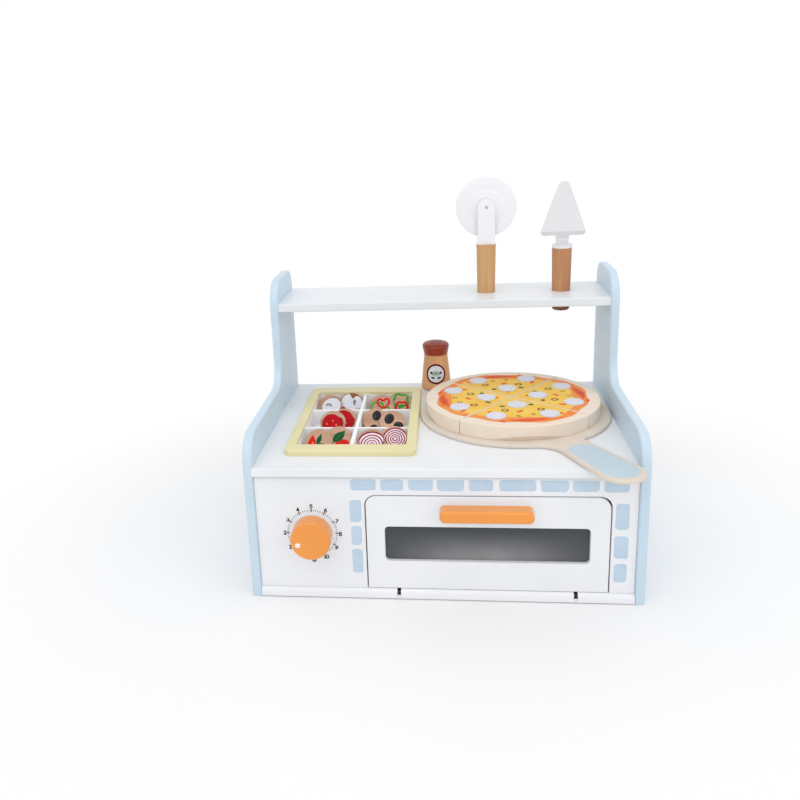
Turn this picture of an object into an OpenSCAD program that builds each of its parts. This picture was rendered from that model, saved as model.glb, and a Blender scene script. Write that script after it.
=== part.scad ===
// Toy oven: a painted tabletop kitchen with a drop-down oven door, a turning dial,
// a sunk tray of topping discs, a four-slice pizza on its peel, a shaker,
// a roller cutter and a slice server. Millimetres, +Z up, +X to the viewer's right,
// +Y away from the viewer. The origin is on the table under the middle of the model.

/* [Cabinet] */
// Clear width between the two side panels
inner_w = 355; // [330:1:400]
// Depth of the side panels, front to back
cabinet_d = 266; // [255:1:300]
// Thickness of the painted boards
board_t = 9; // [8:0.5:10]
// Thickness of the back panel
back_t = 3; // [2:0.5:5]
// Height of the worktop's upper face
worktop_h = 136; // [132:1:150]
// Height of the shelf's upper face
shelf_h = 256; // [250:1:280]
// Depth of the shelf
shelf_d = 92; // [80:1:100]
// How far the shelf stands back from the panels' upper front edge
shelf_setback = 2; // [0:0.5:5]
// How far the side panels rise above the shelf's upper face
crown_rise = 25; // [15:1:35]
// How far the panels' front shoulder rises above the worktop
shoulder_rise = 30; // [20:1:40]
// Radius of the front shoulder
shoulder_r = 30; // [15:1:40]
// Radius where the panel sweeps up from the shoulder
sweep_r = 24; // [10:1:35]
// Radius of the panel's top front corner
crown_r = 30; // [10:1:40]
// Radius of the panel's top rear corner
rear_r = 20; // [10:1:25]
// Height of the base board's underside
base_lift = 1; // [0.5:0.5:2]
// How far the front panel stands back from the base board's edge
front_setback = 3; // [2:0.5:4]

/* [Door] */
// Width of the door's frame on each side of the window
door_rail = 17.5; // [14:0.5:22]
// Height of the door
door_h = 96.6; // [90:0.2:100]
// Width of the front panel's right-hand stile
stile_w = 23; // [18:1:30]
// Gap round the door's sides and top
door_gap = 1; // [0.8:0.1:1.5]
// Gap under the door, which the base board's edge needs as the door turns
under_gap = 0.7; // [0.6:0.1:2]
// Radius of the door's top corners
door_r = 10; // [6:1:15]
// Width of the window's opening
window_w = 190; // [150:1:194]
// Height of the window's opening
window_h = 36; // [25:1:37]
// Height of the window's middle above the door's lower edge
window_mid = 47; // [45:1:50]
// Radius of the window's corners
window_r = 4; // [2:0.5:6]
// How far the pane lies behind the door's face
pane_recess = 4.5; // [3:0.5:5]
// Thickness of the pane
pane_t = 3; // [2:0.5:3]
// Width of the pane's rim behind the door
pane_rim = 6; // [5:0.5:8]
// Distance between the pane's left and right screws
pane_screw_gap = 128; // [100:1:136]
// Length of the handle bar
handle_l = 86; // [70:1:100]
// How far the handle bar stands out
handle_d = 15; // [12:1:18]
// Height of the handle bar
handle_h = 12; // [10:1:14]
// Height of the handle's middle above the door's lower edge
handle_mid = 82; // [78:0.2:84]
// Radius of the handle bar's edges
handle_edge_r = 3; // [1:0.5:4]
// Radius of the handle bar's ends
handle_end_r = 5; // [4:0.5:6]
// Distance between the handle's two screws
handle_screw_gap = 56; // [40:1:60]

/* [Hinges] */
// Distance of each hinge from the door's side edge
hinge_inset = 29.5; // [20:0.5:40]
// Diameter of a hinge pin
pin_d = 2; // [1.6:0.2:2.4]
// Length of a hinge pin
pin_l = 18; // [14:1:20]
// Outer diameter of a tongue's eye
eye_d = 4.8; // [4.4:0.2:5]
// Thickness of a tongue
tongue_t = 2; // [1.5:0.5:2.5]
// Width of a tongue's upright arm, front to back
tongue_w = 5; // [4:0.5:6]
// Height of a tongue's screw flange above the door's lower edge
flange_h = 24; // [22:1:28]
// Width of a tongue's screw flange
flange_w = 14; // [12:1:18]
// Thickness of a tongue's screw flange
flange_t = 1.5; // [1:0.5:2]
// Width of the slots in the base board's front edge
slot_w = 3.4; // [3:0.2:4]
// Length of a pin plate
pin_plate_l = 32; // [30:1:36]
// Width of a pin plate
pin_plate_w = 7; // [6.5:0.5:7]
// Thickness of a pin plate
pin_plate_t = 1.5; // [1:0.25:1.5]

/* [Door catch] */
// Width of a door stop strip
stop_w = 20; // [16:1:24]
// How far a stop strip reaches behind the door
stop_overlap = 8; // [6:0.5:10]
// Diameter of the catch magnet
magnet_d = 6; // [4:0.5:6]
// Length of the catch magnet
magnet_l = 5; // [3:0.5:6]
// Depth of the magnet's middle below the door's upper edge
magnet_drop = 20; // [18:1:26]
// Width of the catch plate
catch_w = 6.6; // [6:0.2:7]
// Height of the catch plate
catch_h = 20; // [18:1:24]
// Thickness of the catch plate
catch_t = 1; // [0.5:0.1:1.5]

/* [Dial] */
// Diameter of the dial knob
knob_d = 38.5; // [34:0.5:44]
// Length of the dial knob
knob_l = 17; // [14:1:22]
// Radius of the knob's front edge
knob_edge_r = 1.8; // [0.5:0.1:3]
// Distance of the dial from the left side panel
dial_inset = 54; // [50:1:60]
// Height of the dial's middle above the table
dial_h = 67.7; // [60:0.1:75]
// Diameter of the pointer dot's dimple
dot_d = 5; // [3:0.5:6]
// Distance of the pointer dot from the knob's middle
dot_r = 12.6; // [10:0.1:14]
// Direction of the pointer dot, anticlockwise from the right
dot_angle = 198; // [0:1:359]
// Diameter of the knob's screw
knob_screw_d = 4; // [3:0.5:5]
// Length of the knob's screw inside the knob
knob_screw_grip = 12; // [8:1:13]

/* [Topping tray] */
// Width of the tray's frame
tray_w = 129; // [120:1:132]
// Length of the tray's frame, front to back
tray_l = 200; // [190:1:204]
// Width of the frame's side rails
side_rail = 10; // [9:0.5:12]
// Width of the frame's front and back rails
end_rail = 18; // [12:1:20]
// Height of the frame above the worktop
frame_h = 5.5; // [4.5:0.5:8]
// Thickness of the frame's lip over the tray box
lip_t = 3; // [2:0.5:3.5]
// Depth of the tray box below its own rim
box_depth = 18; // [16:1:20]
// Thickness of the tray box's walls
box_wall = 3; // [2:0.5:3.5]
// Thickness of the tray box's floor
box_floor = 2.5; // [2:0.5:3]
// Thickness of the long divider
long_divider_t = 4; // [3:0.5:5]
// Thickness of the two cross dividers
cross_divider_t = 3; // [2:0.5:4]
// Radius of the frame's corners
frame_r = 8; // [4:1:10]
// Gap between the tray and the left side panel
tray_inset = 24.5; // [20:0.5:26]
// Distance of the tray behind the worktop's front edge
tray_front = 31; // [26:1:33]

/* [Toppings] */
// Diameter of a topping disc
disc_d = 28; // [24:0.5:28]
// Thickness of a topping disc
disc_t = 3.5; // [3:0.5:4]
// Diameter of the hook patch on a disc's back
patch_d = 16; // [10:1:18]
// Thickness of the hook patch
patch_t = 1.2; // [0.8:0.1:1.2]
// How far the discs lean back from upright
disc_lean = 50; // [47:1:54]

/* [Pizza and peel] */
// Diameter of the peel's round plate
peel_d = 199; // [185:1:200]
// Thickness of the peel
peel_t = 4; // [3:0.5:5]
// Reach of the peel's handle from the plate's middle
peel_reach = 200.2; // [185:0.1:200.5]
// Width of the peel's handle at its tip
peel_handle_w = 44; // [40:1:44]
// Angle by which each side of the handle spreads towards the tip
peel_flare = 3.2; // [0:0.2:4]
// Angle of the peel's handle from straight forward, towards the right
peel_angle = 27; // [20:1:27]
// Radius of the neck on the handle's left
neck_left_r = 24; // [15:1:60]
// Radius of the neck on the handle's right
neck_right_r = 6; // [4:1:30]
// Gap between the peel's plate and the right side panel
peel_inset = 1.4; // [1:0.1:4]
// Distance of the plate's middle behind the worktop's front edge
peel_mid = 149; // [147:1:152]
// Diameter of the pizza
pizza_d = 182; // [170:1:184]
// Thickness of the pizza
pizza_t = 15; // [12:0.5:18]
// Distance of the pizza's middle to the left of the plate's middle
pizza_shift = 2; // [0:0.5:4]
// Width of the cuts between the slices
cut_w = 0.8; // [0.6:0.1:1.5]
// Direction of the first cut, anticlockwise from the right
cut_angle = 51.5; // [0:0.5:89]
// Width of the finger scoop under each crust
scoop_w = 66; // [40:1:80]
// Height of the finger scoop
scoop_h = 3.5; // [2:0.5:5]
// Depth of the finger scoop
scoop_d = 5; // [3:0.5:8]
// Diameter of a loop pad on the pizza
pad_d = 20; // [16:0.5:22]
// Thickness of a loop pad
pad_t = 1.6; // [1:0.1:2.5]
// Distance of the inner pad from the pizza's middle
inner_pad_r = 27.5; // [26:0.5:32]
// Distance of the two outer pads from the pizza's middle
outer_pad_r = 65; // [60:0.5:68]
// Angle between an outer pad and the slice's middle line
outer_pad_angle = 24.5; // [20:0.5:27]

/* [Shaker] */
// Diameter of the shaker's foot
shaker_d = 35; // [30:0.5:36]
// Diameter of the shaker's neck
neck_d = 27; // [22:0.2:27]
// Height of the shaker's wooden body
shaker_body_h = 42; // [34:0.5:44]
// Height of the shaker's cap
cap_h = 15.5; // [15:0.5:22]
// Largest diameter of the cap
cap_d = 31; // [28:0.5:32]
// Diameter of the cap's lower edge
cap_foot_d = 27.4; // [22:0.2:28]
// Gap between the tray's frame and the shaker's middle
shaker_offset = 17; // [15:0.5:20]
// Distance of the shaker's middle from the worktop's back edge
shaker_back = 20; // [19:0.5:22]
// Diameter of the peg that holds the shaker's cap
peg_d = 14; // [10:0.5:16]
// Height of the peg that holds the shaker's cap
peg_h = 6; // [4:0.5:7]

/* [Tools] */
// Length of a tool's handle
grip_l = 69; // [60:1:75]
// Upper diameter of a tool's handle
grip_top_d = 21.2; // [20.5:0.1:23]
// Lower diameter of a tool's handle
grip_end_d = 19; // [17:0.1:19.5]
// Radius of the handle's lower edge
grip_end_r = 3; // [1:0.5:4]
// Depth of the cutter's handle below the shelf's face
cutter_sink = 15.5; // [12:0.5:24]
// Depth of the server's handle below the shelf's face
server_sink = 22; // [14:0.5:26]
// Distance of the cutter from the right side panel
cutter_inset = 127; // [115:1:135]
// Distance of the server from the right side panel
server_inset = 45.5; // [35:0.5:50]
// Diameter of the cutter's wheel
wheel_d = 65; // [56:1:70]
// Thickness of the wheel at its rim
rim_t = 2.4; // [1.6:0.2:2.8]
// Diameter and thickness of the wheel's middle ring
ring_d = 35.6; // [30:0.2:40]
// Thickness of the wheel's middle ring
ring_t = 3.8; // [3:0.2:4]
// Diameter of the wheel's hub
hub_d = 24; // [18:0.5:26]
// Thickness of the wheel's hub
hub_t = 5.2; // [4.2:0.2:5.4]
// Height of the wheel's middle above the handle
wheel_rise = 40; // [38:0.5:46]
// Width of the fork's arms
fork_w = 18.8; // [16:0.2:20]
// Thickness of the fork, front to back
fork_t = 14; // [12:0.5:18]
// Width of the fork's slot
fork_slot = 6; // [6:0.2:7]
// Diameter of the wheel's axle
axle_d = 3.2; // [2:0.2:5]
// Length of the pegs that hold the tools' heads
peg_l = 12; // [8:1:16]
// Diameter of the pegs that hold the tools' heads
tool_peg_d = 6; // [4:0.5:8]
// Height of the server's collar
collar_h = 3.4; // [2:0.2:5]
// Width of the server's neck
server_neck_w = 13.5; // [10:0.5:16]
// Height of the server's head above its collar
blade_h = 68; // [56:1:76]
// Width of the blade at its widest
blade_w = 47; // [40:1:56]
// Thickness of the server's head
blade_t = 2.5; // [2:0.5:4]
// How far the blade stands in front of the neck
blade_step = 7; // [4:0.5:8]
// Radius of the blade's tip
blade_tip_r = 6.5; // [4:0.5:8]

/* [Fasteners] */
// Diameter of the cabinet screws
cabinet_screw_d = 3.5; // [3:0.5:4]
// Length of the cabinet screws
cabinet_screw_l = 32; // [25:1:40]
// Diameter of the cabinet screws' heads
cabinet_head_d = 7; // [6:0.5:8]
// Diameter of the small screws
small_screw_d = 2; // [1.6:0.2:2.4]
// Diameter of the small screws' heads
small_head_d = 4; // [3.4:0.2:4.4]
// Height of the small screws' round heads
small_head_h = 1.2; // [1:0.1:1.5]
// Height of the handle screws' round heads
handle_head_h = 2; // [1.5:0.1:2.5]
// How far the handle screws reach into the bar
handle_grip = 10; // [8:0.5:12]
// Length of the back panel's screws
back_screw_l = 14; // [12:1:18]
// Length of the screws in the hinge tongues
tongue_screw_l = 7; // [5:0.5:7.5]
// Length of the screws in the pin plates and the catch plate
plate_screw_l = 6; // [4:0.5:6]

/* [Clearances] */
// Clearance round a fastener or a pressed pin
fit = 0.05; // [0.02:0.01:0.08]
// Radial clearance of a turning fit
running = 0.06; // [0.03:0.01:0.09]
// Clearance between loose wooden pieces
loose = 0.3; // [0.2:0.1:0.5]
// Clearance round the tray box in the worktop's cut-out
cutout_gap = 0.5; // [0.3:0.1:1]

/* [Hidden] */
$fn = 64;

// Colours
panel_blue = [0.77, 0.86, 0.92];
paint_white = [0.93, 0.94, 0.95];
raw_board = [0.55, 0.40, 0.27];
steel = [0.70, 0.71, 0.73];
dark_tint = [0.25, 0.27, 0.29, 0.75];
orange_paint = [0.94, 0.60, 0.30];
frame_yellow = [0.93, 0.89, 0.66];
disc_wood = [0.84, 0.66, 0.50];
crust_wood = [0.94, 0.87, 0.77];
pad_white = [0.86, 0.87, 0.91];
shaker_wood = [0.82, 0.63, 0.45];
cap_brown = [0.56, 0.24, 0.12];
pale_grip = [0.80, 0.63, 0.43];
red_grip = [0.76, 0.53, 0.33];

// Cabinet heights and depths, with the side panels' front edge at y = 0
half_w = inner_w / 2;
base_top = base_lift + board_t;
worktop_under = worktop_h - board_t;
shelf_y = cabinet_d - shelf_d;
riser_y = shelf_y - shelf_setback;
panel_h = shelf_h + crown_rise;
shoulder_h = worktop_h + shoulder_rise;
board_d = cabinet_d - back_t;
front_back_y = front_setback + board_t;
back_reveal = 1.5;

// Door
door_w = window_w + 2 * door_rail;
opening_right = half_w - stile_w;
door_x = opening_right - door_gap - door_w / 2;
door_z = base_top + under_gap;
opening_w = door_w + 2 * door_gap;
opening_top = door_z + door_h + door_gap;
pane_w = window_w + 2 * pane_rim;
pane_h = window_h + 2 * pane_rim;
window_z = door_z + window_mid;
pane_y = front_setback + pane_recess;
handle_z = door_z + handle_mid;

// Hinges: the pins lie in the middle of the base board's thickness
pivot_y = board_t / 2;
pivot_z = base_top - board_t / 2;
hinge_xs = [door_x - door_w / 2 + hinge_inset, door_x + door_w / 2 - hinge_inset];
pin_plate_z = pivot_z - pin_d / 2 - pin_plate_t;
pin_plate_y = pivot_y + 0.5;
pin_screw_gap = pin_plate_l - 8;
slot_floor = pivot_z - eye_d / 2 - loose;
slot_depth = front_back_y + tongue_w + 2 * loose;
arm_low = pivot_z - 0.5;
arm_high = base_top - 1;
edge_round = 4;
flange_z = door_z + 4;
flange_screws = [7, flange_h - 9];

// Catch
catch_x = opening_right - door_gap - stop_overlap / 2;
magnet_x = opening_right - stop_overlap / 2;
magnet_z = door_z + door_h - magnet_drop;
catch_screw_drop = catch_h / 2 - 4;

// Dial
dial_x = -half_w + dial_inset;
knob_back_y = front_setback - loose;
washer_t = 1;
washer_d = 12;
knob_head_h = 2.5;
knob_head_d = 8;
dimple = 0.4;

// Tray
tray_x = -half_w + tray_inset + tray_w / 2;
tray_y = tray_front + tray_l / 2;
well_w = tray_w - 2 * side_rail;
well_l = tray_l - 2 * end_rail;
box_w = well_w + 2 * box_wall;
box_l = well_l + 2 * box_wall;
frame_top = worktop_h + frame_h;
box_top = frame_top - lip_t;
well_floor = box_top - box_depth;
cell_w = (well_w - long_divider_t) / 2;
cell_l = (well_l - 2 * cross_divider_t) / 3;
box_r = 3;

// Toppings: two discs lean on the back wall of each cell, one in front of the other
disc_r = disc_d / 2;
disc_z = well_floor + loose + disc_r * cos(disc_lean) + disc_t / 2 * sin(disc_lean);
wall_reach = (disc_t / 2 + loose + (box_top - disc_z) * sin(disc_lean)) / cos(disc_lean);
back_reach = loose + disc_r * sin(disc_lean) + disc_t / 2 * cos(disc_lean);
stack_step = (disc_t + patch_t + loose) / cos(disc_lean);
disc_side = cell_w / 2 - disc_r - loose;

// Pizza and peel
peel_x = half_w - peel_inset - peel_d / 2;
peel_y = peel_mid;
pizza_x = peel_x - pizza_shift;
pizza_y = peel_y + 2;
pizza_z = worktop_h + peel_t;
peel_tip_r = peel_handle_w / 2;
peel_tip = peel_reach - peel_tip_r;
slice_turn = cut_angle + 45;

// Shaker
shaker_x = tray_x + tray_w / 2 + shaker_offset;
shaker_y = cabinet_d - shaker_back;

// Tools
tool_y = shelf_y + shelf_d / 2;
cutter_x = half_w - cutter_inset;
server_x = half_w - server_inset;
cutter_z = shelf_h - cutter_sink;
server_z = shelf_h - server_sink;
wheel_z = cutter_z + grip_l + wheel_rise;
fork_foot = 5;

// Front and back limits of the whole model, which put the origin in its middle
front_limit = min(peel_y - peel_tip * cos(peel_angle) - peel_tip_r,
                  front_setback - handle_d, knob_back_y - knob_l, 0);
mid_y = (front_limit + cabinet_d) / 2;

// ---------- helpers ----------

// Moves the model so that its footprint is centred on the origin
module placed() {
    translate([0, -mid_y, 0]) children();
}

// Rectangle about the origin with round corners
module round_rect(w, h, r) {
    square([w - 2 * r, h], center = true);
    square([w, h - 2 * r], center = true);
    for (sx = [-1, 1], sy = [-1, 1])
        translate([sx * (w / 2 - r), sy * (h / 2 - r)]) circle(r);
}

// Board standing in the XZ plane: the outline's y becomes height, its face is at y = 0
module upright(t) {
    translate([0, t, 0]) rotate([90, 0, 0]) linear_extrude(t) children();
}

// Board standing in the YZ plane, t thick towards +X: the outline is (depth, height)
module sideways(t) {
    rotate([90, 0, 90]) linear_extrude(t) children();
}

// Countersunk screw whose flat head is at z = 0 and whose shank runs down
module countersunk(d, l, head_d, grow = 0) {
    head_h = (head_d - d) / 2;
    translate([0, 0, -head_h])
        cylinder(h = head_h, d1 = d + 2 * grow, d2 = head_d + 2 * grow);
    translate([0, 0, -l - grow]) cylinder(h = l + grow, d = d + 2 * grow);
}

// Round-headed screw whose head stands on z = 0 and whose shank runs down
module panhead(d, l, head_d, head_h) {
    cylinder(h = head_h, d = head_d);
    translate([0, 0, -l]) cylinder(h = l, d = d);
}

module pilot(d, l) {
    translate([0, 0, -l - fit]) cylinder(h = l + 2 * fit, d = d + 2 * fit);
}

// ---------- side panels ----------

module panel_outline() {
    difference() {
        union() {
            square([cabinet_d, shoulder_h]);
            translate([riser_y, 0]) square([cabinet_d - riser_y, panel_h]);
            translate([riser_y - sweep_r, shoulder_h]) square([sweep_r, sweep_r]);
        }
        translate([riser_y - sweep_r, shoulder_h + sweep_r]) circle(sweep_r);
        corner_cut([0, shoulder_h], shoulder_r);
        corner_cut([riser_y, panel_h], crown_r);
        translate([cabinet_d, 0]) mirror([1, 0]) corner_cut([0, panel_h], rear_r);
    }
}

// Rounds the upper left corner at p of an outline
module corner_cut(p, r) {
    translate([p[0], p[1] - r]) difference() {
        translate([-1, 0]) square([r + 1, r + 1]);
        translate([r, 0]) circle(r);
    }
}

// Screws that enter one side panel: [depth, height]
function panel_screws() = [
    [cabinet_d * 0.2, worktop_h - board_t / 2],
    [cabinet_d * 0.85, worktop_h - board_t / 2],
    [cabinet_d * 0.2, base_top - board_t / 2],
    [cabinet_d * 0.85, base_top - board_t / 2],
    [shelf_y + shelf_d * 0.25, shelf_h - board_t / 2],
    [shelf_y + shelf_d * 0.8, shelf_h - board_t / 2],
    [front_setback + board_t / 2, (base_top + worktop_under) / 2]
];

// The screws of one side, or their holes; side is -1 on the left and 1 on the right
module one_side_screws(side, grow = 0) {
    for (p = panel_screws())
        translate([side * (half_w + board_t), p[0], p[1]])
            rotate([0, side * 90, 0])
                countersunk(cabinet_screw_d, cabinet_screw_l, cabinet_head_d, grow);
}

module side_panel(side) {
    difference() {
        translate([side > 0 ? half_w : -half_w - board_t, 0, 0])
            sideways(board_t) panel_outline();
        one_side_screws(side, fit);
    }
}

module side_panel_left() {
    color(panel_blue) placed() side_panel(-1);
}

module side_panel_right() {
    color(panel_blue) placed() side_panel(1);
}

module side_screws() {
    color(steel) placed() {
        one_side_screws(-1);
        one_side_screws(1);
    }
}

// ---------- cabinet boards ----------

module all_side_holes() {
    one_side_screws(-1, fit);
    one_side_screws(1, fit);
}

// Screws of the back panel: [x, height]
function back_screw_places() = [
    for (x = [-half_w + 20, 0, half_w - 20], z = [base_top - board_t / 2, worktop_h - board_t / 2])
        [x, z]
];

module back_screws_at(grow = 0) {
    for (p = back_screw_places())
        translate([p[0], cabinet_d, p[1]]) rotate([-90, 0, 0])
            countersunk(small_screw_d, back_screw_l, small_head_d, grow);
}

module worktop() {
    color(paint_white) placed() difference() {
        translate([-half_w, 0, worktop_under]) cube([inner_w, board_d, board_t]);
        translate([tray_x, tray_y, worktop_under - 1])
            linear_extrude(board_t + 2)
                round_rect(box_w + 2 * cutout_gap, box_l + 2 * cutout_gap, box_r + cutout_gap);
        all_side_holes();
        back_screws_at(fit);
    }
}

// Cuts for one hinge in the base board, at the hinge's own x
module hinge_cuts() {
    translate([-slot_w / 2, -1, slot_floor])
        cube([slot_w, slot_depth + 1, base_top]);
    translate([-pin_l / 2 - fit, pivot_y, pivot_z]) rotate([0, 90, 0])
        cylinder(h = pin_l + 2 * fit, d = pin_d + 2 * fit);
    translate([-pin_l / 2 - fit, pivot_y - pin_d / 2 - fit, 0])
        cube([pin_l + 2 * fit, pin_d + 2 * fit, pivot_z]);
    translate([0, pin_plate_y, -1]) linear_extrude(pin_plate_z + pin_plate_t + 1)
        square([pin_plate_l + 2 * loose, pin_plate_w + 2 * fit], center = true);
}

module pin_plate_screws_at(grow = 0) {
    for (x = hinge_xs, s = [-1, 1])
        translate([x + s * pin_screw_gap / 2, pin_plate_y, pin_plate_z])
            rotate([180, 0, 0]) countersunk(small_screw_d, plate_screw_l, small_head_d, grow);
}

// The base board's front edge is rounded where the door turns over it
module base_outline() {
    square_front = [board_d - edge_round, board_t];
    translate([edge_round, base_lift]) square(square_front);
    translate([0, base_lift]) square([edge_round, board_t - edge_round]);
    translate([edge_round, base_top - edge_round]) circle(edge_round);
}

module base_board() {
    color(paint_white) placed() difference() {
        translate([-half_w, 0, 0]) sideways(inner_w) base_outline();
        for (x = hinge_xs) translate([x, 0, 0]) hinge_cuts();
        pin_plate_screws_at(fit);
        all_side_holes();
        back_screws_at(fit);
    }
}

// Outline of the front panel: a board with the door's opening cut up from below
module front_outline() {
    difference() {
        translate([-half_w, base_top]) square([inner_w, worktop_under - base_top]);
        translate([door_x, (opening_top + base_top) / 2 - door_r])
            round_rect(opening_w, opening_top - base_top + 2 * door_r, door_r + door_gap);
    }
}

module front_panel() {
    color(paint_white) placed() difference() {
        translate([0, front_setback, 0]) upright(board_t) front_outline();
        translate([dial_x, 0, dial_h]) rotate([-90, 0, 0])
            cylinder(h = front_back_y + 1, d = knob_screw_d + 2 * running);
        all_side_holes();
    }
}

module back_panel() {
    color(paint_white) placed() difference() {
        translate([-half_w, board_d, base_lift])
            cube([inner_w, back_t, worktop_h - back_reveal - base_lift]);
        back_screws_at(fit);
    }
}

module back_panel_screws() {
    color(steel) placed() back_screws_at();
}

// Radius of a tool's handle at a height above its lower end
function grip_r(h) = (grip_end_d + (grip_top_d - grip_end_d) * h / grip_l) / 2;

module shelf() {
    color(paint_white) placed() difference() {
        translate([-half_w, shelf_y, shelf_h - board_t]) cube([inner_w, shelf_d, board_t]);
        translate([cutter_x, tool_y, shelf_h - board_t - 1])
            cylinder(h = board_t + 2, r = grip_r(cutter_sink) + loose / 2);
        translate([server_x, tool_y, shelf_h - board_t - 1])
            cylinder(h = board_t + 2, r = grip_r(server_sink) + loose / 2);
        all_side_holes();
    }
}

// ---------- door stops and catch ----------

module stop_strip(x) {
    translate([x, front_back_y, base_top])
        cube([stop_w, board_t, opening_top - 6 - base_top]);
}

module door_stops() {
    color(raw_board) placed() difference() {
        union() {
            stop_strip(opening_right - stop_overlap);
            stop_strip(opening_right - opening_w - stop_w + stop_overlap);
        }
        magnet_at(fit);
    }
}

module magnet_at(grow = 0) {
    translate([magnet_x, front_back_y, magnet_z]) rotate([-90, 0, 0])
        cylinder(h = magnet_l + grow, d = magnet_d + 2 * grow);
}

module catch_magnet() {
    color(steel) placed() magnet_at();
}

module catch_screw_at(grow = 0) {
    translate([catch_x, front_back_y, magnet_z - catch_screw_drop]) rotate([-90, 0, 0])
        countersunk(small_screw_d, plate_screw_l, small_head_d, grow);
}

module catch_plate_at(grow = 0) {
    translate([catch_x, front_back_y - catch_t - grow, magnet_z])
        upright(catch_t + 2 * grow)
            square([catch_w + 2 * grow, catch_h + 2 * grow], center = true);
}

module catch_plate() {
    color(steel) placed() difference() {
        catch_plate_at();
        catch_screw_at(fit);
    }
}

module catch_plate_screw() {
    color(steel) placed() catch_screw_at();
}

// ---------- door ----------

// Door with round top corners and square lower ones
module door_outline() {
    intersection() {
        translate([door_x, door_z + door_h / 2 - door_r])
            round_rect(door_w, door_h + 2 * door_r, door_r);
        translate([door_x - door_w / 2, door_z]) square([door_w, door_h]);
    }
}

module pane_screws_at(grow = 0) {
    for (sx = [-1, 1], sz = [-1, 1])
        translate([door_x + sx * pane_screw_gap / 2, pane_y + pane_t,
                   window_z + sz * (window_h + pane_rim) / 2])
            rotate([-90, 0, 0]) pilot_or_screw(grow);
}

module pilot_or_screw(grow) {
    if (grow > 0) pilot(small_screw_d, pane_t + pane_recess - 1);
    else panhead(small_screw_d, pane_t + pane_recess - 1, small_head_d, small_head_h);
}

module handle_screws_at(grow = 0) {
    for (s = [-1, 1])
        translate([door_x + s * handle_screw_gap / 2, front_back_y, handle_z])
            rotate([-90, 0, 0])
                if (grow > 0) pilot(cabinet_screw_d, board_t + handle_grip);
                else panhead(cabinet_screw_d, board_t + handle_grip, cabinet_head_d, handle_head_h);
}

module tongue_screws_at(grow = 0) {
    for (x = hinge_xs, h = flange_screws)
        translate([x + tongue_t / 2 + flange_w / 2, front_back_y + flange_t, flange_z + h])
            rotate([-90, 0, 0])
                if (grow > 0) pilot(small_screw_d, tongue_screw_l);
                else panhead(small_screw_d, tongue_screw_l, small_head_d, small_head_h);
}

module door_panel() {
    color(paint_white) placed() difference() {
        translate([0, front_setback, 0]) upright(board_t) door_outline();
        translate([door_x, front_setback - 1, window_z])
            upright(board_t + 2) round_rect(window_w, window_h, window_r);
        translate([door_x, pane_y, window_z])
            upright(board_t) round_rect(pane_w + 2 * fit, pane_h + 2 * fit, window_r);
        pane_screws_at(fit);
        handle_screws_at(fit);
        tongue_screws_at(fit);
        catch_plate_at(fit);
        catch_screw_at(fit);
    }
}

module door_window() {
    color(dark_tint) placed() difference() {
        translate([door_x, pane_y, window_z]) upright(pane_t) round_rect(pane_w, pane_h, window_r);
        pane_screws_at(fit);
    }
}

module window_screws() {
    color(steel) placed() pane_screws_at();
}

// The bar is the common part of its three rounded views
module door_handle() {
    color(orange_paint) placed() difference() {
        translate([door_x, front_setback - handle_d, handle_z]) intersection() {
            upright(handle_d) round_rect(handle_l, handle_h, handle_end_r);
            translate([-handle_l / 2, handle_d, 0]) sideways(handle_l)
                round_rect(2 * handle_d, handle_h, handle_edge_r);
            translate([0, handle_d, -handle_h / 2]) linear_extrude(handle_h)
                round_rect(handle_l, 2 * handle_d, handle_end_r);
        }
        handle_screws_at(fit);
    }
}

module handle_screws() {
    color(steel) placed() handle_screws_at();
}

// ---------- hinges ----------

module tongue_outline() {
    difference() {
        union() {
            translate([pivot_y, pivot_z]) circle(d = eye_d);
            translate([pivot_y, arm_low])
                square([front_back_y + tongue_w - pivot_y, arm_high - arm_low]);
            translate([front_back_y, arm_low])
                square([tongue_w, flange_z + flange_h - arm_low]);
        }
        translate([pivot_y, pivot_z]) circle(d = pin_d + 2 * running);
    }
}

module hinge_tongues() {
    color(steel) placed() difference() {
        for (x = hinge_xs) translate([x - tongue_t / 2, 0, 0]) {
            sideways(tongue_t) tongue_outline();
            translate([0, front_back_y, flange_z])
                cube([tongue_t + flange_w, flange_t, flange_h]);
        }
        tongue_screws_at(fit);
    }
}

module tongue_screws() {
    color(steel) placed() tongue_screws_at();
}

module hinge_pins() {
    color(steel) placed() for (x = hinge_xs)
        translate([x - pin_l / 2, pivot_y, pivot_z]) rotate([0, 90, 0])
            cylinder(h = pin_l, d = pin_d);
}

// A plate let into the base board's underside holds each pin up in its groove
module hinge_pin_plates() {
    color(steel) placed() difference() {
        for (x = hinge_xs) translate([x, 0, pin_plate_z]) difference() {
            translate([0, pin_plate_y, 0]) linear_extrude(pin_plate_t)
                square([pin_plate_l, pin_plate_w], center = true);
            translate([-slot_w / 2, 0, -1])
                cube([slot_w, pivot_y + eye_d / 2 + loose, pin_plate_t + 2]);
        }
        pin_plate_screws_at(fit);
    }
}

module pin_plate_screws() {
    color(steel) placed() pin_plate_screws_at();
}

// ---------- dial ----------

module knob_outline() {
    r = knob_d / 2;
    square([r - knob_edge_r, knob_l]);
    square([r, knob_l - knob_edge_r]);
    translate([r - knob_edge_r, knob_l - knob_edge_r]) circle(knob_edge_r);
}

module dial_knob() {
    color(orange_paint) placed() translate([dial_x, knob_back_y, dial_h]) rotate([90, 0, 0])
        difference() {
            rotate_extrude() knob_outline();
            translate([0, 0, -1]) cylinder(h = knob_screw_grip + 1, d = knob_screw_d + 2 * fit);
            rotate([0, 0, dot_angle]) translate([dot_r, 0, knob_l - dimple])
                cylinder(h = 1, d = dot_d);
        }
}

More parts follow.
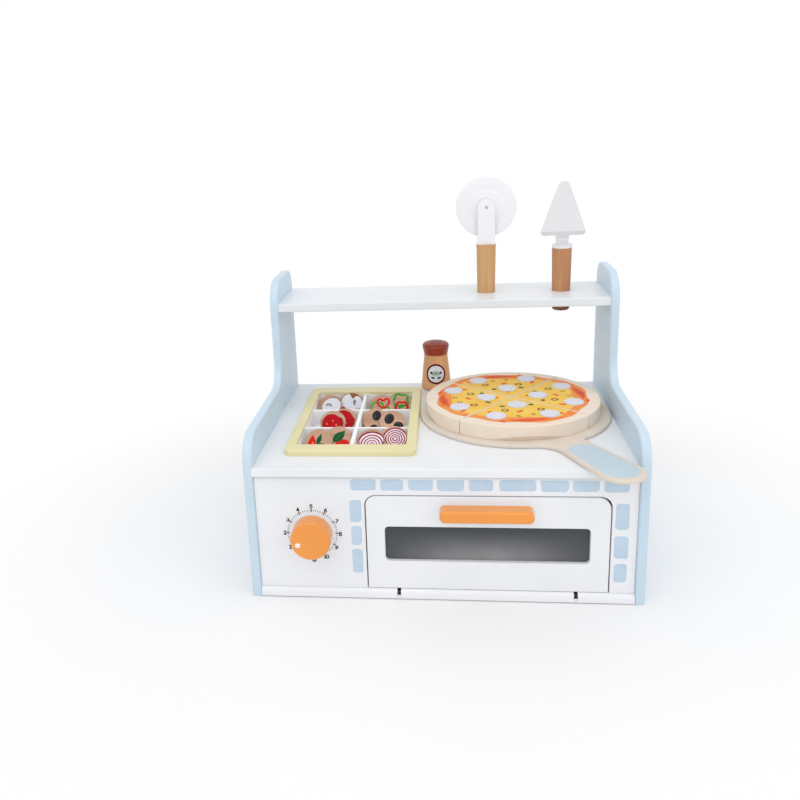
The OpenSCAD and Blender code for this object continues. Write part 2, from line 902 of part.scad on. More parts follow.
// The screw holds the knob from inside the panel and turns with it
module knob_screw() {
    head_y = front_back_y + loose + washer_t;
    color(steel) placed() translate([dial_x, head_y, dial_h]) rotate([-90, 0, 0])
        panhead(knob_screw_d, head_y - knob_back_y + knob_screw_grip - 0.5,
                knob_head_d, knob_head_h);
}

module knob_washer() {
    color(steel) placed() translate([dial_x, front_back_y + loose, dial_h])
        rotate([-90, 0, 0]) difference() {
            cylinder(h = washer_t, d = washer_d);
            translate([0, 0, -1]) cylinder(h = washer_t + 2, d = knob_screw_d + 2 * fit);
        }
}

// ---------- topping tray ----------

module tray_frame() {
    color(frame_yellow) placed() translate([tray_x, tray_y, 0]) difference() {
        translate([0, 0, worktop_h]) linear_extrude(frame_h) round_rect(tray_w, tray_l, frame_r);
        translate([0, 0, worktop_h - 1]) linear_extrude(frame_h + 2)
            square([well_w, well_l], center = true);
        translate([0, 0, worktop_h - 1]) linear_extrude(box_top - worktop_h + 1)
            round_rect(box_w + 2 * fit, box_l + 2 * fit, box_r);
    }
}

module tray_box() {
    color(paint_white) placed() translate([tray_x, tray_y, 0]) difference() {
        translate([0, 0, well_floor - box_floor])
            linear_extrude(box_depth + box_floor) round_rect(box_w, box_l, box_r);
        translate([0, 0, well_floor]) linear_extrude(box_depth + 1)
            square([well_w, well_l], center = true);
    }
}

module tray_dividers() {
    color(paint_white) placed() translate([tray_x, tray_y, well_floor])
        linear_extrude(box_depth) {
            square([long_divider_t, well_l], center = true);
            for (s = [-1, 1]) translate([0, s * (cell_l + cross_divider_t) / 2])
                square([well_w, cross_divider_t], center = true);
        }
}

// ---------- toppings ----------

// Middle of the cell in column c (-1 left, 1 right) and row r (0 front, 1, 2 back)
function cell_x(c) = tray_x + c * (cell_w + long_divider_t) / 2;
function cell_back_y(r) =
    tray_y - well_l / 2 + (r + 1) * cell_l + r * cross_divider_t;

// Depth of the back disc's middle: it leans on a divider, or on the tray's back wall
function disc_y(r) = cell_back_y(r) - (r == 2 ? back_reach : wall_reach);

// A disc with its hook patch; side is -1 to 1 across the cell, step 0 behind, 1 in front
module topping(c, r, side, step) {
    color(disc_wood) placed()
        translate([cell_x(c) + side * disc_side, disc_y(r) - step * stack_step, disc_z])
            rotate([90 - disc_lean, 0, 0]) {
                translate([0, 0, -disc_t / 2]) cylinder(h = disc_t, d = disc_d);
                translate([0, 0, -disc_t / 2 - patch_t]) cylinder(h = patch_t, d = patch_d);
            }
}

module mushroom_disc_back() topping(-1, 2, 1, 0);
module mushroom_disc_front() topping(-1, 2, -1, 1);
module pepper_disc_back() topping(1, 2, 1, 0);
module pepper_disc_front() topping(1, 2, -0.7, 1);
module salami_disc_back() topping(-1, 1, 0.9, 0);
module salami_disc_front() topping(-1, 1, -0.1, 1);
module olive_disc_back() topping(1, 1, -1, 0);
module olive_disc_front() topping(1, 1, 0.6, 1);
module tomato_disc_back() topping(-1, 0, 0.9, 0);
module tomato_disc_front() topping(-1, 0, -0.7, 1);
module onion_disc_back() topping(1, 0, 1, 0);
module onion_disc_front() topping(1, 0, -0.9, 1);

// ---------- peel and pizza ----------

// Points on an arc about c, from angle a0 to a1 in n steps, leaving out the first k of them
function arc(c, r, a0, a1, n, k = 0) = [
    for (i = [k : n]) c + r * [cos(a0 + (a1 - a0) * i / n), sin(a0 + (a1 - a0) * i / n)]
];

// Distance of the plate's middle from the line of the handle's side, which touches the tip's circle
side_line = peel_tip_r - peel_tip * sin(peel_flare);

// Middle of the round neck between plate and handle, and the direction to it
function neck_along(r) = sqrt(pow(peel_d / 2 + r, 2) - pow(side_line + r, 2));
function neck_mid(r) = [
    neck_along(r) * cos(peel_flare) - (side_line + r) * sin(peel_flare),
    neck_along(r) * sin(peel_flare) + (side_line + r) * cos(peel_flare)
];
function neck_dir(r) = atan2(neck_mid(r)[1], neck_mid(r)[0]);

// The peel with its handle along +X: plate, left neck, handle's tip, right neck
module peel_outline() {
    left = neck_mid(neck_left_r);
    right = neck_mid(neck_right_r);
    left_dir = neck_dir(neck_left_r);
    right_dir = neck_dir(neck_right_r);
    polygon(concat(
        arc([0, 0], peel_d / 2, right_dir, 360 - left_dir, 120),
        arc([left[0], -left[1]], neck_left_r, 180 - left_dir, 90 - peel_flare, 16, 1),
        arc([peel_tip, 0], peel_tip_r, -90 - peel_flare, 90 + peel_flare, 32),
        [for (p = arc(right, neck_right_r, 270 + peel_flare, 180 + right_dir, 16))
            if (norm(p) > peel_d / 2 + 0.01) p]
    ));
}

module pizza_peel() {
    color(crust_wood) placed() translate([peel_x, peel_y, worktop_h])
        rotate([0, 0, peel_angle - 90]) linear_extrude(peel_t) peel_outline();
}

// One quarter of the pizza; k is 0 at the back, then anticlockwise
module pizza_slice(k) {
    scoop_r = scoop_w * scoop_w / (8 * scoop_h);
    color(crust_wood) placed() translate([pizza_x, pizza_y, pizza_z])
        rotate([0, 0, slice_turn + 90 * k]) difference() {
            intersection() {
                cylinder(h = pizza_t, d = pizza_d, $fn = 128);
                rotate([0, 0, -45]) translate([cut_w / 2, cut_w / 2, 0])
                    cube([pizza_d, pizza_d, pizza_t]);
            }
            translate([pizza_d / 2 - scoop_d, 0, scoop_h - scoop_r]) rotate([0, 90, 0])
                cylinder(h = 2 * scoop_d, r = scoop_r, $fn = 256);
        }
}

module slice_pads(k) {
    pads = [[inner_pad_r, 0], [outer_pad_r, outer_pad_angle], [outer_pad_r, -outer_pad_angle]];
    color(pad_white) placed() translate([pizza_x, pizza_y, pizza_z + pizza_t])
        for (p = pads) rotate([0, 0, slice_turn + 90 * k + p[1]]) translate([p[0], 0, 0])
            cylinder(h = pad_t, d = pad_d);
}

module pizza_slice_back() pizza_slice(0);
module pizza_slice_left() pizza_slice(1);
module pizza_slice_front() pizza_slice(2);
module pizza_slice_right() pizza_slice(3);
module slice_pads_back() slice_pads(0);
module slice_pads_left() slice_pads(1);
module slice_pads_front() slice_pads(2);
module slice_pads_right() slice_pads(3);

// ---------- shaker ----------

module shaker_body() {
    foot_r = 3;
    color(shaker_wood) placed() translate([shaker_x, shaker_y, worktop_h]) {
        rotate_extrude() difference() {
            union() {
                polygon([[0, 0], [shaker_d / 2 - foot_r, 0], [shaker_d / 2, foot_r],
                         [neck_d / 2, shaker_body_h], [0, shaker_body_h]]);
                intersection() {
                    translate([shaker_d / 2 - foot_r, foot_r]) circle(foot_r);
                    square([shaker_d / 2, foot_r]);
                }
            }
        }
        translate([0, 0, shaker_body_h]) cylinder(h = peg_h, d = peg_d);
    }
}

// The cap swells to a rounded shoulder under a low dome; its peg hole is blind
module shaker_cap() {
    shoulder = 4;
    widest = cap_h - shoulder - 2;
    color(cap_brown) placed() translate([shaker_x, shaker_y, worktop_h + shaker_body_h])
        difference() {
            rotate_extrude() {
                polygon([[0, 0], [cap_foot_d / 2, 0], [cap_d / 2, widest], [0, widest]]);
                translate([0, widest]) square([cap_d / 2 - shoulder, shoulder]);
                intersection() {
                    translate([cap_d / 2 - shoulder, widest]) circle(shoulder);
                    square([cap_d / 2, cap_h]);
                }
                intersection() {
                    dome_w = cap_d / 2 - shoulder;
                    dome_r = (dome_w * dome_w + 4) / 4;
                    translate([0, cap_h - dome_r]) circle(dome_r, $fn = 128);
                    translate([0, widest + shoulder]) square([dome_w, 2]);
                }
            }
            translate([0, 0, -1]) cylinder(h = peg_h + 1 + loose, d = peg_d + 2 * fit);
            for (a = [0 : 72 : 288]) rotate([0, 0, a + 18]) translate([6, 0, cap_h - 3])
                cylinder(h = 4, d = 1.6);
        }
}

// ---------- tools ----------

// Turned handle: a slow taper with a rounded lower edge
module grip(z0, x0, paint) {
    color(paint) placed() translate([x0, tool_y, z0]) difference() {
        rotate_extrude() {
            polygon([[0, grip_end_r], [grip_r(grip_end_r), grip_end_r],
                     [grip_top_d / 2, grip_l], [0, grip_l]]);
            square([grip_r(grip_end_r) - grip_end_r, grip_end_r]);
            intersection() {
                translate([grip_r(grip_end_r) - grip_end_r, grip_end_r]) circle(grip_end_r);
                square([grip_top_d, grip_end_r]);
            }
        }
        translate([0, 0, grip_l - peg_l]) cylinder(h = peg_l + 1, d = tool_peg_d + 2 * fit);
    }
}

module cutter_handle() grip(cutter_z, cutter_x, pale_grip);
module server_handle() grip(server_z, server_x, red_grip);

module tool_peg() {
    translate([0, 0, -peg_l + 0.5]) cylinder(h = peg_l, d = tool_peg_d);
}

// Two arms with round ends and a slot between them for the wheel
module cutter_fork() {
    slot_low = wheel_rise - wheel_d / 2 - 1.5;
    color(paint_white) placed() translate([cutter_x, tool_y, cutter_z + grip_l]) {
        difference() {
            translate([0, -fork_t / 2, 0]) upright(fork_t) {
                translate([-fork_w / 2, 0]) square([fork_w, wheel_rise]);
                translate([0, wheel_rise]) circle(fork_w / 2);
            }
            translate([-fork_w, -fork_slot / 2, slot_low])
                cube([2 * fork_w, fork_slot, wheel_rise + fork_w]);
            translate([0, fork_t, wheel_rise]) rotate([90, 0, 0])
                cylinder(h = 2 * fork_t, d = axle_d + 2 * fit);
        }
        tool_peg();
    }
}

module cutter_wheel() {
    color(paint_white) placed() translate([cutter_x, tool_y, wheel_z]) rotate([90, 0, 0])
        difference() {
            union() {
                translate([0, 0, -rim_t / 2]) cylinder(h = rim_t, d = wheel_d, $fn = 96);
                translate([0, 0, -ring_t / 2]) cylinder(h = ring_t, d = ring_d);
                translate([0, 0, -hub_t / 2]) cylinder(h = hub_t, d = hub_d);
            }
            translate([0, 0, -hub_t]) cylinder(h = 2 * hub_t, d = axle_d + 2 * running);
        }
}

module cutter_axle() {
    color(steel) placed() translate([cutter_x, tool_y, wheel_z]) rotate([90, 0, 0])
        translate([0, 0, -fork_t / 2]) cylinder(h = fork_t, d = axle_d);
}

// Front view of the server's head: neck, curved shoulders and a pointed blade
module blade_front() {
    low = blade_h * 0.21;
    corner = 4;
    tip_y = blade_h - blade_tip_r;
    foot_x = blade_w / 2 - corner;
    slant = atan2(foot_x - blade_tip_r, tip_y - low);
    reach = blade_h - low;
    translate([-server_neck_w / 2, 0]) square([server_neck_w, low + corner]);
    translate([0, tip_y]) circle(blade_tip_r);
    for (s = [-1, 1]) translate([s * foot_x, low]) circle(corner);
    polygon([[-foot_x, low - corner], [foot_x, low - corner],
             [foot_x + corner * cos(slant), low + corner * sin(slant)],
             [blade_tip_r * cos(slant), tip_y + blade_tip_r * sin(slant)],
             [-blade_tip_r * cos(slant), tip_y + blade_tip_r * sin(slant)],
             [-foot_x - corner * cos(slant), low + corner * sin(slant)]]);
}

// Side view of the head, [depth, height]: upright neck, sloping step, upright blade
module blade_side() {
    step_low = blade_h * 0.1;
    step_high = blade_h * 0.22;
    polygon([[-blade_t / 2, 0], [blade_t / 2, 0], [blade_t / 2, step_low + blade_t / 2],
             [blade_t / 2 - blade_step, step_high + blade_t / 2], [blade_t / 2 - blade_step, blade_h],
             [-blade_t / 2 - blade_step, blade_h], [-blade_t / 2 - blade_step, step_high],
             [-blade_t / 2, step_low]]);
}

module server_blade() {
    color(paint_white) placed() translate([server_x, tool_y, server_z + grip_l]) {
        cylinder(h = collar_h, d = grip_top_d);
        tool_peg();
        translate([0, 0, collar_h]) intersection() {
            translate([-blade_w, 0, 0]) sideways(2 * blade_w) blade_side();
            translate([0, -blade_w, 0]) upright(2 * blade_w) blade_front();
        }
    }
}

// ---------- drawing ----------

side_panel_left();
side_panel_right();
worktop();
base_board();
front_panel();
back_panel();
shelf();
door_stops();
catch_magnet();
side_screws();
back_panel_screws();
hinge_pins();
hinge_pin_plates();
pin_plate_screws();
door_panel();
door_window();
door_handle();
handle_screws();
window_screws();
hinge_tongues();
tongue_screws();
catch_plate();
catch_plate_screw();
dial_knob();
knob_screw();
knob_washer();
tray_frame();
tray_box();
tray_dividers();
mushroom_disc_back();
mushroom_disc_front();
pepper_disc_back();
pepper_disc_front();
salami_disc_back();
salami_disc_front();
olive_disc_back();
olive_disc_front();
tomato_disc_back();
tomato_disc_front();
onion_disc_back();
onion_disc_front();
pizza_peel();
pizza_slice_back();
pizza_slice_left();
pizza_slice_front();
pizza_slice_right();
slice_pads_back();
slice_pads_left();
slice_pads_front();
slice_pads_right();
shaker_body();
shaker_cap();
cutter_handle();
cutter_fork();
cutter_wheel();
cutter_axle();
server_handle();
server_blade();
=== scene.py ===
"""Looks of the toy oven: painted boards with rounded edges, turned handles, and the printed
bricks, dial, discs and pizza.

Places and sizes are in millimetres in the cabinet's own terms, as in the CAD source: x to the
viewer's right from the cabinet's middle, y back from the side panels' front edges, z up from the
table. Each mesh is computed as whole arrays and is only turned into metres as it is stored.
"""

import math

import bpy
import numpy as np
from mathutils import Matrix, Vector
from mathutils.geometry import tessellate_polygon


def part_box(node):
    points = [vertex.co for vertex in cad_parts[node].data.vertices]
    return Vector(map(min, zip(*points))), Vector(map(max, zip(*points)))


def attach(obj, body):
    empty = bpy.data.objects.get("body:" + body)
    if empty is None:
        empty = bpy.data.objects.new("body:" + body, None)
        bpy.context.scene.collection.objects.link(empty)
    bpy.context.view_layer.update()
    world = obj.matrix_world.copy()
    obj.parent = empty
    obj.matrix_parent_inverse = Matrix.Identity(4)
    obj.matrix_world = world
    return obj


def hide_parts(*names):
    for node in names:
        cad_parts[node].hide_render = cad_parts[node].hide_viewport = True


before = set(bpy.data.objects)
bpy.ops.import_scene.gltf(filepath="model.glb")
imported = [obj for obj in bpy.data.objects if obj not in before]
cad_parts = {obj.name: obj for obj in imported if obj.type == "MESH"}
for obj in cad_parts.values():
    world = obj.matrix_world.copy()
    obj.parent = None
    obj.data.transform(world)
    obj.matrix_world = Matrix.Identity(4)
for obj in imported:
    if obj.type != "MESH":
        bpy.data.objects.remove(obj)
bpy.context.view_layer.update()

METRE = 1000.0
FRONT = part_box("side_panel_left")[0].y * METRE      # the row's y of the cabinet's front plane


def span(node):
    """A CAD node's lowest and highest corners in the cabinet's millimetres."""
    low, high = (np.array(corner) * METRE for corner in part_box(node))
    return low - (0, FRONT, 0), high - (0, FRONT, 0)


def middle_of(node):
    """The middle of a CAD node's box."""
    low, high = span(node)
    return (low + high) / 2


# ---------------------------------------------------------------- outlines

def arc(centre, radius, start, end, steps):
    """Points on a circle about centre from angle start to angle end, both included."""
    turn = np.radians(np.linspace(start, end, steps + 1))
    return np.column_stack([centre[0] + radius * np.cos(turn), centre[1] + radius * np.sin(turn)])


def circle(radius, steps, centre=(0, 0)):
    """A whole circle, its last point left out because the outline closes by itself."""
    return arc(centre, radius, 0, 360, steps)[:-1]


def round_rect(x0, x1, y0, y1, radii=0, steps=8):
    """Rectangle with a quarter circle at each corner; radii run anticlockwise from low left."""
    r = np.broadcast_to(radii, 4)
    middles = [(x0 + r[0], y0 + r[0]), (x1 - r[1], y0 + r[1]), (x1 - r[2], y1 - r[2]),
               (x0 + r[3], y1 - r[3])]
    return np.vstack([arc(middle, radius, 180 + 90 * k, 270 + 90 * k, steps if radius else 0)
                      for k, (middle, radius) in enumerate(zip(middles, r))])


def box_outline(box, up, across=0.0, along=0.0, radii=0, steps=8):
    """Outline of a box seen from the front (up is 2) or from above (up is 1), grown at its
    sides by across and at its two other edges by along."""
    low, high = box
    return round_rect(low[0] - across, high[0] + across, low[up] - along, high[up] + along,
                      radii, steps)


def smooth(a, b, c, d, steps):
    """Catmull-Rom cubics from each b to its c, shaped by the neighbours a and d. A span's last
    point is left to the next span."""
    t = (np.arange(steps) / steps)[None, :, None]
    a, b, c, d = (k[:, None] for k in (a, b, c, d))
    spans = 0.5 * (2 * b + (c - a) * t + (2 * a - 5 * b + 4 * c - d) * t ** 2
                   + (3 * b - a - 3 * c + d) * t ** 3)
    return spans.reshape(-1, 2)


def through(points, steps=8):
    """Closed smooth curve through the points."""
    p = np.asarray(points, float)
    return smooth(np.roll(p, 1, 0), p, np.roll(p, -1, 0), np.roll(p, -2, 0), steps)


def outward(outline):
    """Outward miter directions of an anticlockwise outline: the mean of the two neighbouring
    edges' normals, scaled so that both edges move out by one."""
    edge = np.roll(outline, -1, 0) - outline
    normal = np.column_stack([edge[:, 1], -edge[:, 0]])
    normal /= np.maximum(np.linalg.norm(normal, axis=1, keepdims=True), 1e-9)
    both = normal + np.roll(normal, 1, 0)
    return both * (2 / np.maximum((both ** 2).sum(1), 0.5))[:, None]


def moved(outline, x=0.0, y=0.0, turn=0.0, grow=1.0):
    """The outline grown, turned anticlockwise by degrees, then moved."""
    c, s = math.cos(math.radians(turn)), math.sin(math.radians(turn))
    return grow * np.asarray(outline) @ np.array([[c, s], [-s, c]]) + (x, y)


def band(points, width, steps=10):
    """Open stroke along a smooth line through the points, round at both ends."""
    p = np.asarray(points, float)
    p = np.vstack([2 * p[0] - p[1], p, 2 * p[-1] - p[-2]])
    line = np.vstack([smooth(*(p[k:len(p) - 3 + k] for k in range(4)), steps), p[-2]])
    along = np.gradient(line, axis=0)
    along /= np.linalg.norm(along, axis=1, keepdims=True)
    left = np.column_stack([-along[:, 1], along[:, 0]]) * width / 2
    first = math.degrees(math.atan2(*left[0][::-1]))
    last = math.degrees(math.atan2(*left[-1][::-1]))
    return np.vstack([line - left, arc(line[-1], width / 2, last - 180, last, 8)[1:-1],
                      (line + left)[::-1], arc(line[0], width / 2, first, first + 180, 8)[1:-1]])


# ---------------------------------------------------------------- solids

FACINGS = {"up": ((1, 0, 0), (0, 1, 0)), "viewer": ((1, 0, 0), (0, 0, 1)),
           "right": ((0, 1, 0), (0, 0, 1))}


def stand(facing, at=(0, 0, 0), lean=0.0):
    """Place and axes of an outline: where its origin is, and the directions of its two
    coordinates and of its thickness. Lean tips it back from facing the viewer."""
    u, v = (np.array(axis, float) for axis in FACINGS[facing])
    if lean:
        v = np.array([0, math.sin(math.radians(lean)), math.cos(math.radians(lean))])
    return np.array(at, float), u, v, np.cross(u, v)


def level_at(z):
    """For an outline drawn from above, at a height: across and back."""
    return stand("up", (0, 0, z))


def upright_at(y):
    """For an outline drawn as the viewer sees it, at a depth: across and up."""
    return stand("viewer", (0, y, 0))


def rounded(height, low, high, steps=5):
    """Profile of a board's edge, rows of (offset, height): quarter circles of the two radii
    join both faces to the side."""
    turn = np.radians(np.linspace(0, 90, steps + 1))
    lower = np.column_stack([low * (np.sin(turn) - 1), low * (1 - np.cos(turn))])
    upper = np.column_stack([high * (np.cos(turn) - 1), height - high + high * np.sin(turn)])
    return np.vstack([lower if low else [[0, 0]], upper if high else [[0, height]]])


def skin(outline, profile, place, start):
    """Rings of an outline moved out and up by each row of the profile: positions, and the
    quads between neighbouring rings. The rows may differ from point to point."""
    origin, u, v, w = place
    rows = profile if profile.ndim == 3 else profile[:, None, :]
    ring = outline[None] + rows[..., :1] * outward(outline)[None]
    points = origin + ring[..., :1] * u + ring[..., 1:] * v + rows[..., 1:] * w
    rows, n = len(profile), len(outline)
    index = start + np.arange(rows * n).reshape(rows, n)
    right = np.roll(index, -1, 1)
    quads = np.stack([index[:-1], right[:-1], right[1:], index[1:]], -1).reshape(-1, 4)
    return points.reshape(-1, 3), quads, index


def cover(points, rings, up):
    """Triangles that fill a flat face between one outer ring and any holes, turned to face up."""
    loops = [[Vector(p) for p in points[ring]] for ring in rings]
    order = np.concatenate(rings)
    tris = order[np.array(tessellate_polygon(loops), int)]
    a, b, c = points[tris[:, 0]], points[tris[:, 1]], points[tris[:, 2]]
    wrong = np.cross(b - a, c - a) @ up < 0
    tris[wrong] = tris[wrong][:, ::-1]
    return tris


def solid(place, outline, profile, holes=(), hole_profile=None):
    """Closed solid: the outline is carried up the profile and both ends are filled flat. A hole
    is an outline too, run the other way round so that its wall faces inwards."""
    parts, faces, low, high, count = [], [], [], [], 0
    for loop, rows in [(outline, profile)] + [
            (hole[::-1], profile if hole_profile is None else hole_profile) for hole in holes]:
        points, quads, index = skin(loop, rows, place, count)
        parts.append(points)
        faces.append(quads)
        low.append(index[0])
        high.append(index[-1])
        count += len(points)
    points = np.vstack(parts)
    ends = [cover(points, low, -place[3]), cover(points, high, place[3])]
    return points, [tuple(f) for f in np.vstack(faces).tolist()] + [
        tuple(f) for f in np.vstack(ends).tolist()]


def closed_grid(grid):
    """Surface over a grid of points that closes on itself both ways, like a ring's."""
    index = np.arange(grid.shape[0] * grid.shape[1]).reshape(grid.shape[:2])
    nxt = np.roll(index, -1, 1)
    below, below_nxt = np.roll(index, -1, 0), np.roll(nxt, -1, 0)
    quads = np.stack([index, below, below_nxt, nxt], -1).reshape(-1, 4)
    return grid.reshape(-1, 3), [tuple(q) for q in quads.tolist()]


def lathe(place, profile, steps):
    """Turned shape: rows of (radius, height) carried round the thickness axis."""
    rows = np.asarray(profile, float)
    first = rows[0, 0]
    return solid(place, circle(first, steps), np.column_stack([rows[:, 0] - first, rows[:, 1]]))


def several(shapes):
    """One mesh out of several separate shapes."""
    points, faces, count = [], [], 0
    for p, f in shapes:
        points.append(p)
        faces += [tuple(i + count for i in face) for face in f]
        count += len(p)
    return np.vstack(points), faces


def piece(name, shape, body, material, replaces=(), crease=40):
    """Stores a shape as an object that rides on a body and takes its finish from a slot."""
    points, faces = shape
    mesh = bpy.data.meshes.new(name)
    mesh.from_pydata(((points + (0, FRONT, 0)) / METRE).tolist(), [], faces)
    mesh.update()
    mesh.shade_smooth()
    mesh.set_sharp_from_angle(angle=math.radians(crease))
    mesh.materials.append(material)
    thing = bpy.data.objects.new(name, mesh)
    bpy.context.scene.collection.objects.link(thing)
    flats = thing.modifiers.new("Flat faces stay flat", "WEIGHTED_NORMAL")
    flats.keep_sharp, flats.weight = True, 80
    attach(thing, body)
    if replaces:
        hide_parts(*replaces)


# ---------------------------------------------------------------- node groups

def add(tree, kind, inputs=None, **settings):
    """Adds a shader node, sets its settings, and sets or links its inputs."""
    node = tree.nodes.new("ShaderNode" + kind)
    for key, value in settings.items():
        setattr(node, key, value)
    for key, value in (inputs or {}).items():
        if isinstance(value, bpy.types.NodeSocket):
            tree.links.new(value, node.inputs[key])
        else:
            node.inputs[key].default_value = value
    return node


def place_in(tree):
    """The point that is shaded, in metres in the shared frame."""
    return add(tree, "TexCoord").outputs["Object"]


def split(tree, vector):
    """A vector's X, Y and Z."""
    return add(tree, "SeparateXYZ", {0: vector}).outputs


def noise(tree, place, scale, detail=2.0, roughness=0.5):
    """Cloudy noise between 0 and 1, finer with a greater scale."""
    return add(tree, "TexNoise", {"Vector": place, "Scale": scale, "Detail": detail,
                                  "Roughness": roughness}).outputs["Fac"]


def stretched(tree, place, along):
    """Coordinates that draw a pattern out along Z, the more so the smaller the factor."""
    return add(tree, "Mapping", {"Vector": place, "Scale": (1, 1, along)}).outputs[0]


def maths(tree, operation, a, b=0.0):
    """One step of arithmetic on two values."""
    return add(tree, "Math", {0: a, 1: b}, operation=operation).outputs[0]


def ramp(tree, value, start, end, low=0.0, high=1.0, curve="LINEAR"):
    """A value that goes from low to high as another goes from start to end."""
    return add(tree, "MapRange", {
        "Value": value, "From Min": start, "From Max": end, "To Min": low, "To Max": high},
        interpolation_type=curve).outputs[0]


def scaled(tree, factor, low, high):
    """A noise spread between two values; most of it lies between 0.3 and 0.7."""
    return ramp(tree, factor, 0.3, 0.7, low, high)


def blended(tree, factor, a, b):
    """Colour a where the factor is 0 and colour b where it is 1."""
    return add(tree, "Mix", {0: factor, 6: a, 7: b}, data_type="RGBA").outputs[2]


def bumped(tree, height, strength, distance):
    """Normals of a skin that rises with the height; the distance is in metres."""
    return add(tree, "Bump", {
        "Strength": strength, "Distance": distance, "Height": height}).outputs[0]


GIVEN = {"Colour": "Color", "Roughness": "Float", "Normal": "Vector"}    # what every group puts out


def group(name, takes):
    """New shader group with named inputs (name, kind, default)."""
    tree = bpy.data.node_groups.new(name, "ShaderNodeTree")
    sockets = tree.interface
    for label, kind, default in takes:
        socket = sockets.new_socket(name=label, in_out="INPUT", socket_type="NodeSocket" + kind)
        if default is not None:
            socket.default_value = default
    for label, kind in GIVEN.items():
        sockets.new_socket(name=label, in_out="OUTPUT", socket_type="NodeSocket" + kind)
    return tree, tree.nodes.new("NodeGroupInput").outputs


def give(tree, *values):
    """Links a group's colour, roughness and normal to what it puts out."""
    ends = tree.nodes.new("NodeGroupOutput").inputs
    for label, value in zip(GIVEN, values):
        tree.links.new(value, ends[label])
    return tree


def paint_group():
    """Sprayed paint: a slow drift between two tones, a fine dimpled skin and uneven gloss."""
    tree, take = group("Sprayed paint", [
        ("Colour", "Color", (1, 1, 1, 1)), ("Shade", "Color", (0.9, 0.9, 0.9, 1)),
        ("Gloss low", "Float", 0.35), ("Gloss high", "Float", 0.5), ("Skin", "Float", 0.06)])
    place = place_in(tree)
    tone = ramp(tree, noise(tree, place, 14, 3), 0.35, 0.7)
    gloss = scaled(tree, noise(tree, place, 90, 4), take["Gloss low"], take["Gloss high"])
    return give(tree, blended(tree, tone, take["Colour"], take["Shade"]), gloss,
                bumped(tree, noise(tree, place, 1100), take["Skin"], 0.0004))


def timber_group():
    """Wood: long growth bands bent by a slow noise, short dark fibres, and pores in the skin.
    The grain runs along the pattern's Z."""
    tree, take = group("Wood grain", [
        ("Vector", "Vector", None), ("Pale", "Color", (1, 1, 1, 1)),
        ("Dark", "Color", (0.5, 0.4, 0.3, 1)), ("Bands", "Float", 90.0), ("Gloss", "Float", 0.45)])
    long = stretched(tree, take["Vector"], 0.08)
    sway = add(tree, "TexNoise", {"Vector": long, "Scale": 25, "Detail": 2}).outputs["Color"]
    sway = add(tree, "VectorMath", {0: sway, "Scale": 0.02}, operation="SCALE").outputs[0]
    bent = add(tree, "VectorMath", {0: long, 1: sway}, operation="ADD").outputs[0]
    bands = noise(tree, bent, take["Bands"], 4, 0.6)
    fibres = noise(tree, stretched(tree, take["Vector"], 0.03), 900, 3)
    grain = maths(tree, "ADD", bands, maths(tree, "MULTIPLY", fibres, 0.45))
    gloss = maths(tree, "ADD", take["Gloss"], maths(tree, "MULTIPLY", fibres, 0.2))
    colour = blended(tree, ramp(tree, grain, 0.5, 0.95), take["Pale"], take["Dark"])
    return give(tree, colour, gloss, bumped(tree, fibres, 0.12, 0.0003))


def ink_group():
    """Screen-printed or brushed ink: soft blotches between two tones and a faint grain."""
    tree, take = group("Brushed ink", [
        ("Colour", "Color", (1, 1, 1, 1)), ("Shade", "Color", (0.9, 0.9, 0.9, 1)),
        ("Blotches", "Float", 60.0)])
    place = place_in(tree)
    tone = ramp(tree, noise(tree, place, take["Blotches"], 3, 0.55), 0.4, 0.68)
    grain = noise(tree, place, 1500, 1)
    return give(tree, blended(tree, tone, take["Colour"], take["Shade"]),
                scaled(tree, grain, 0.42, 0.56), bumped(tree, grain, 0.08, 0.0002))


PAINT, TIMBER, INK = paint_group(), timber_group(), ink_group()


# ---------------------------------------------------------------- materials

SHADER = "Principled BSDF"


def linear(red, green, blue):
    """A colour as it looks on the screen, 0 to 255, as the shader takes it."""
    c = np.array([red, green, blue]) / 255
    return (*np.where(c <= 0.04045, c / 12.92, ((c + 0.055) / 1.055) ** 2.4).tolist(), 1.0)


def finish_of(name, values):
    """New material: plain values are set on its Principled shader's own sockets."""
    material = bpy.data.materials.new(name)
    material.use_nodes = True
    tree = material.node_tree
    sockets = tree.nodes[SHADER].inputs
    for key, value in values.items():
        sockets[key].default_value = value
    return material, tree, sockets


def dressed(name, tree_group, inputs, values):
    """Material whose colour, roughness and normal come from one of the groups."""
    material, tree, sockets = finish_of(name, {"Coat Roughness": 0.3, **values})
    node = add(tree, "Group", inputs, node_tree=tree_group)
    for mine, theirs in zip(GIVEN, ("Base Color", "Roughness", "Normal")):
        tree.links.new(node.outputs[mine], sockets[theirs])
    return material


def painted(name, colour, shade, gloss=(0.36, 0.5), skin=0.06, coat=0.0):
    """Sprayed paint of two near tones."""
    return dressed(name, PAINT, {
        "Colour": linear(*colour), "Shade": linear(*shade), "Gloss low": gloss[0],
        "Gloss high": gloss[1], "Skin": skin}, {"Coat Weight": coat})


def timber(name, pale, dark, along, bands, gloss, coat=0.0):
    """Wood whose grain lies level at the angle along from the right, or with None stands."""
    material = dressed(name, TIMBER, {"Pale": linear(*pale), "Dark": linear(*dark),
                                      "Bands": bands, "Gloss": gloss}, {"Coat Weight": coat})
    tree = material.node_tree
    grain = (0, 0, 0) if along is None else (90, along - 90, 0)
    turned = add(tree, "Mapping", {
        "Vector": place_in(tree), "Rotation": np.radians(grain).tolist()})
    node = next(n for n in tree.nodes if n.type == "GROUP")
    tree.links.new(turned.outputs[0], node.inputs["Vector"])
    return material


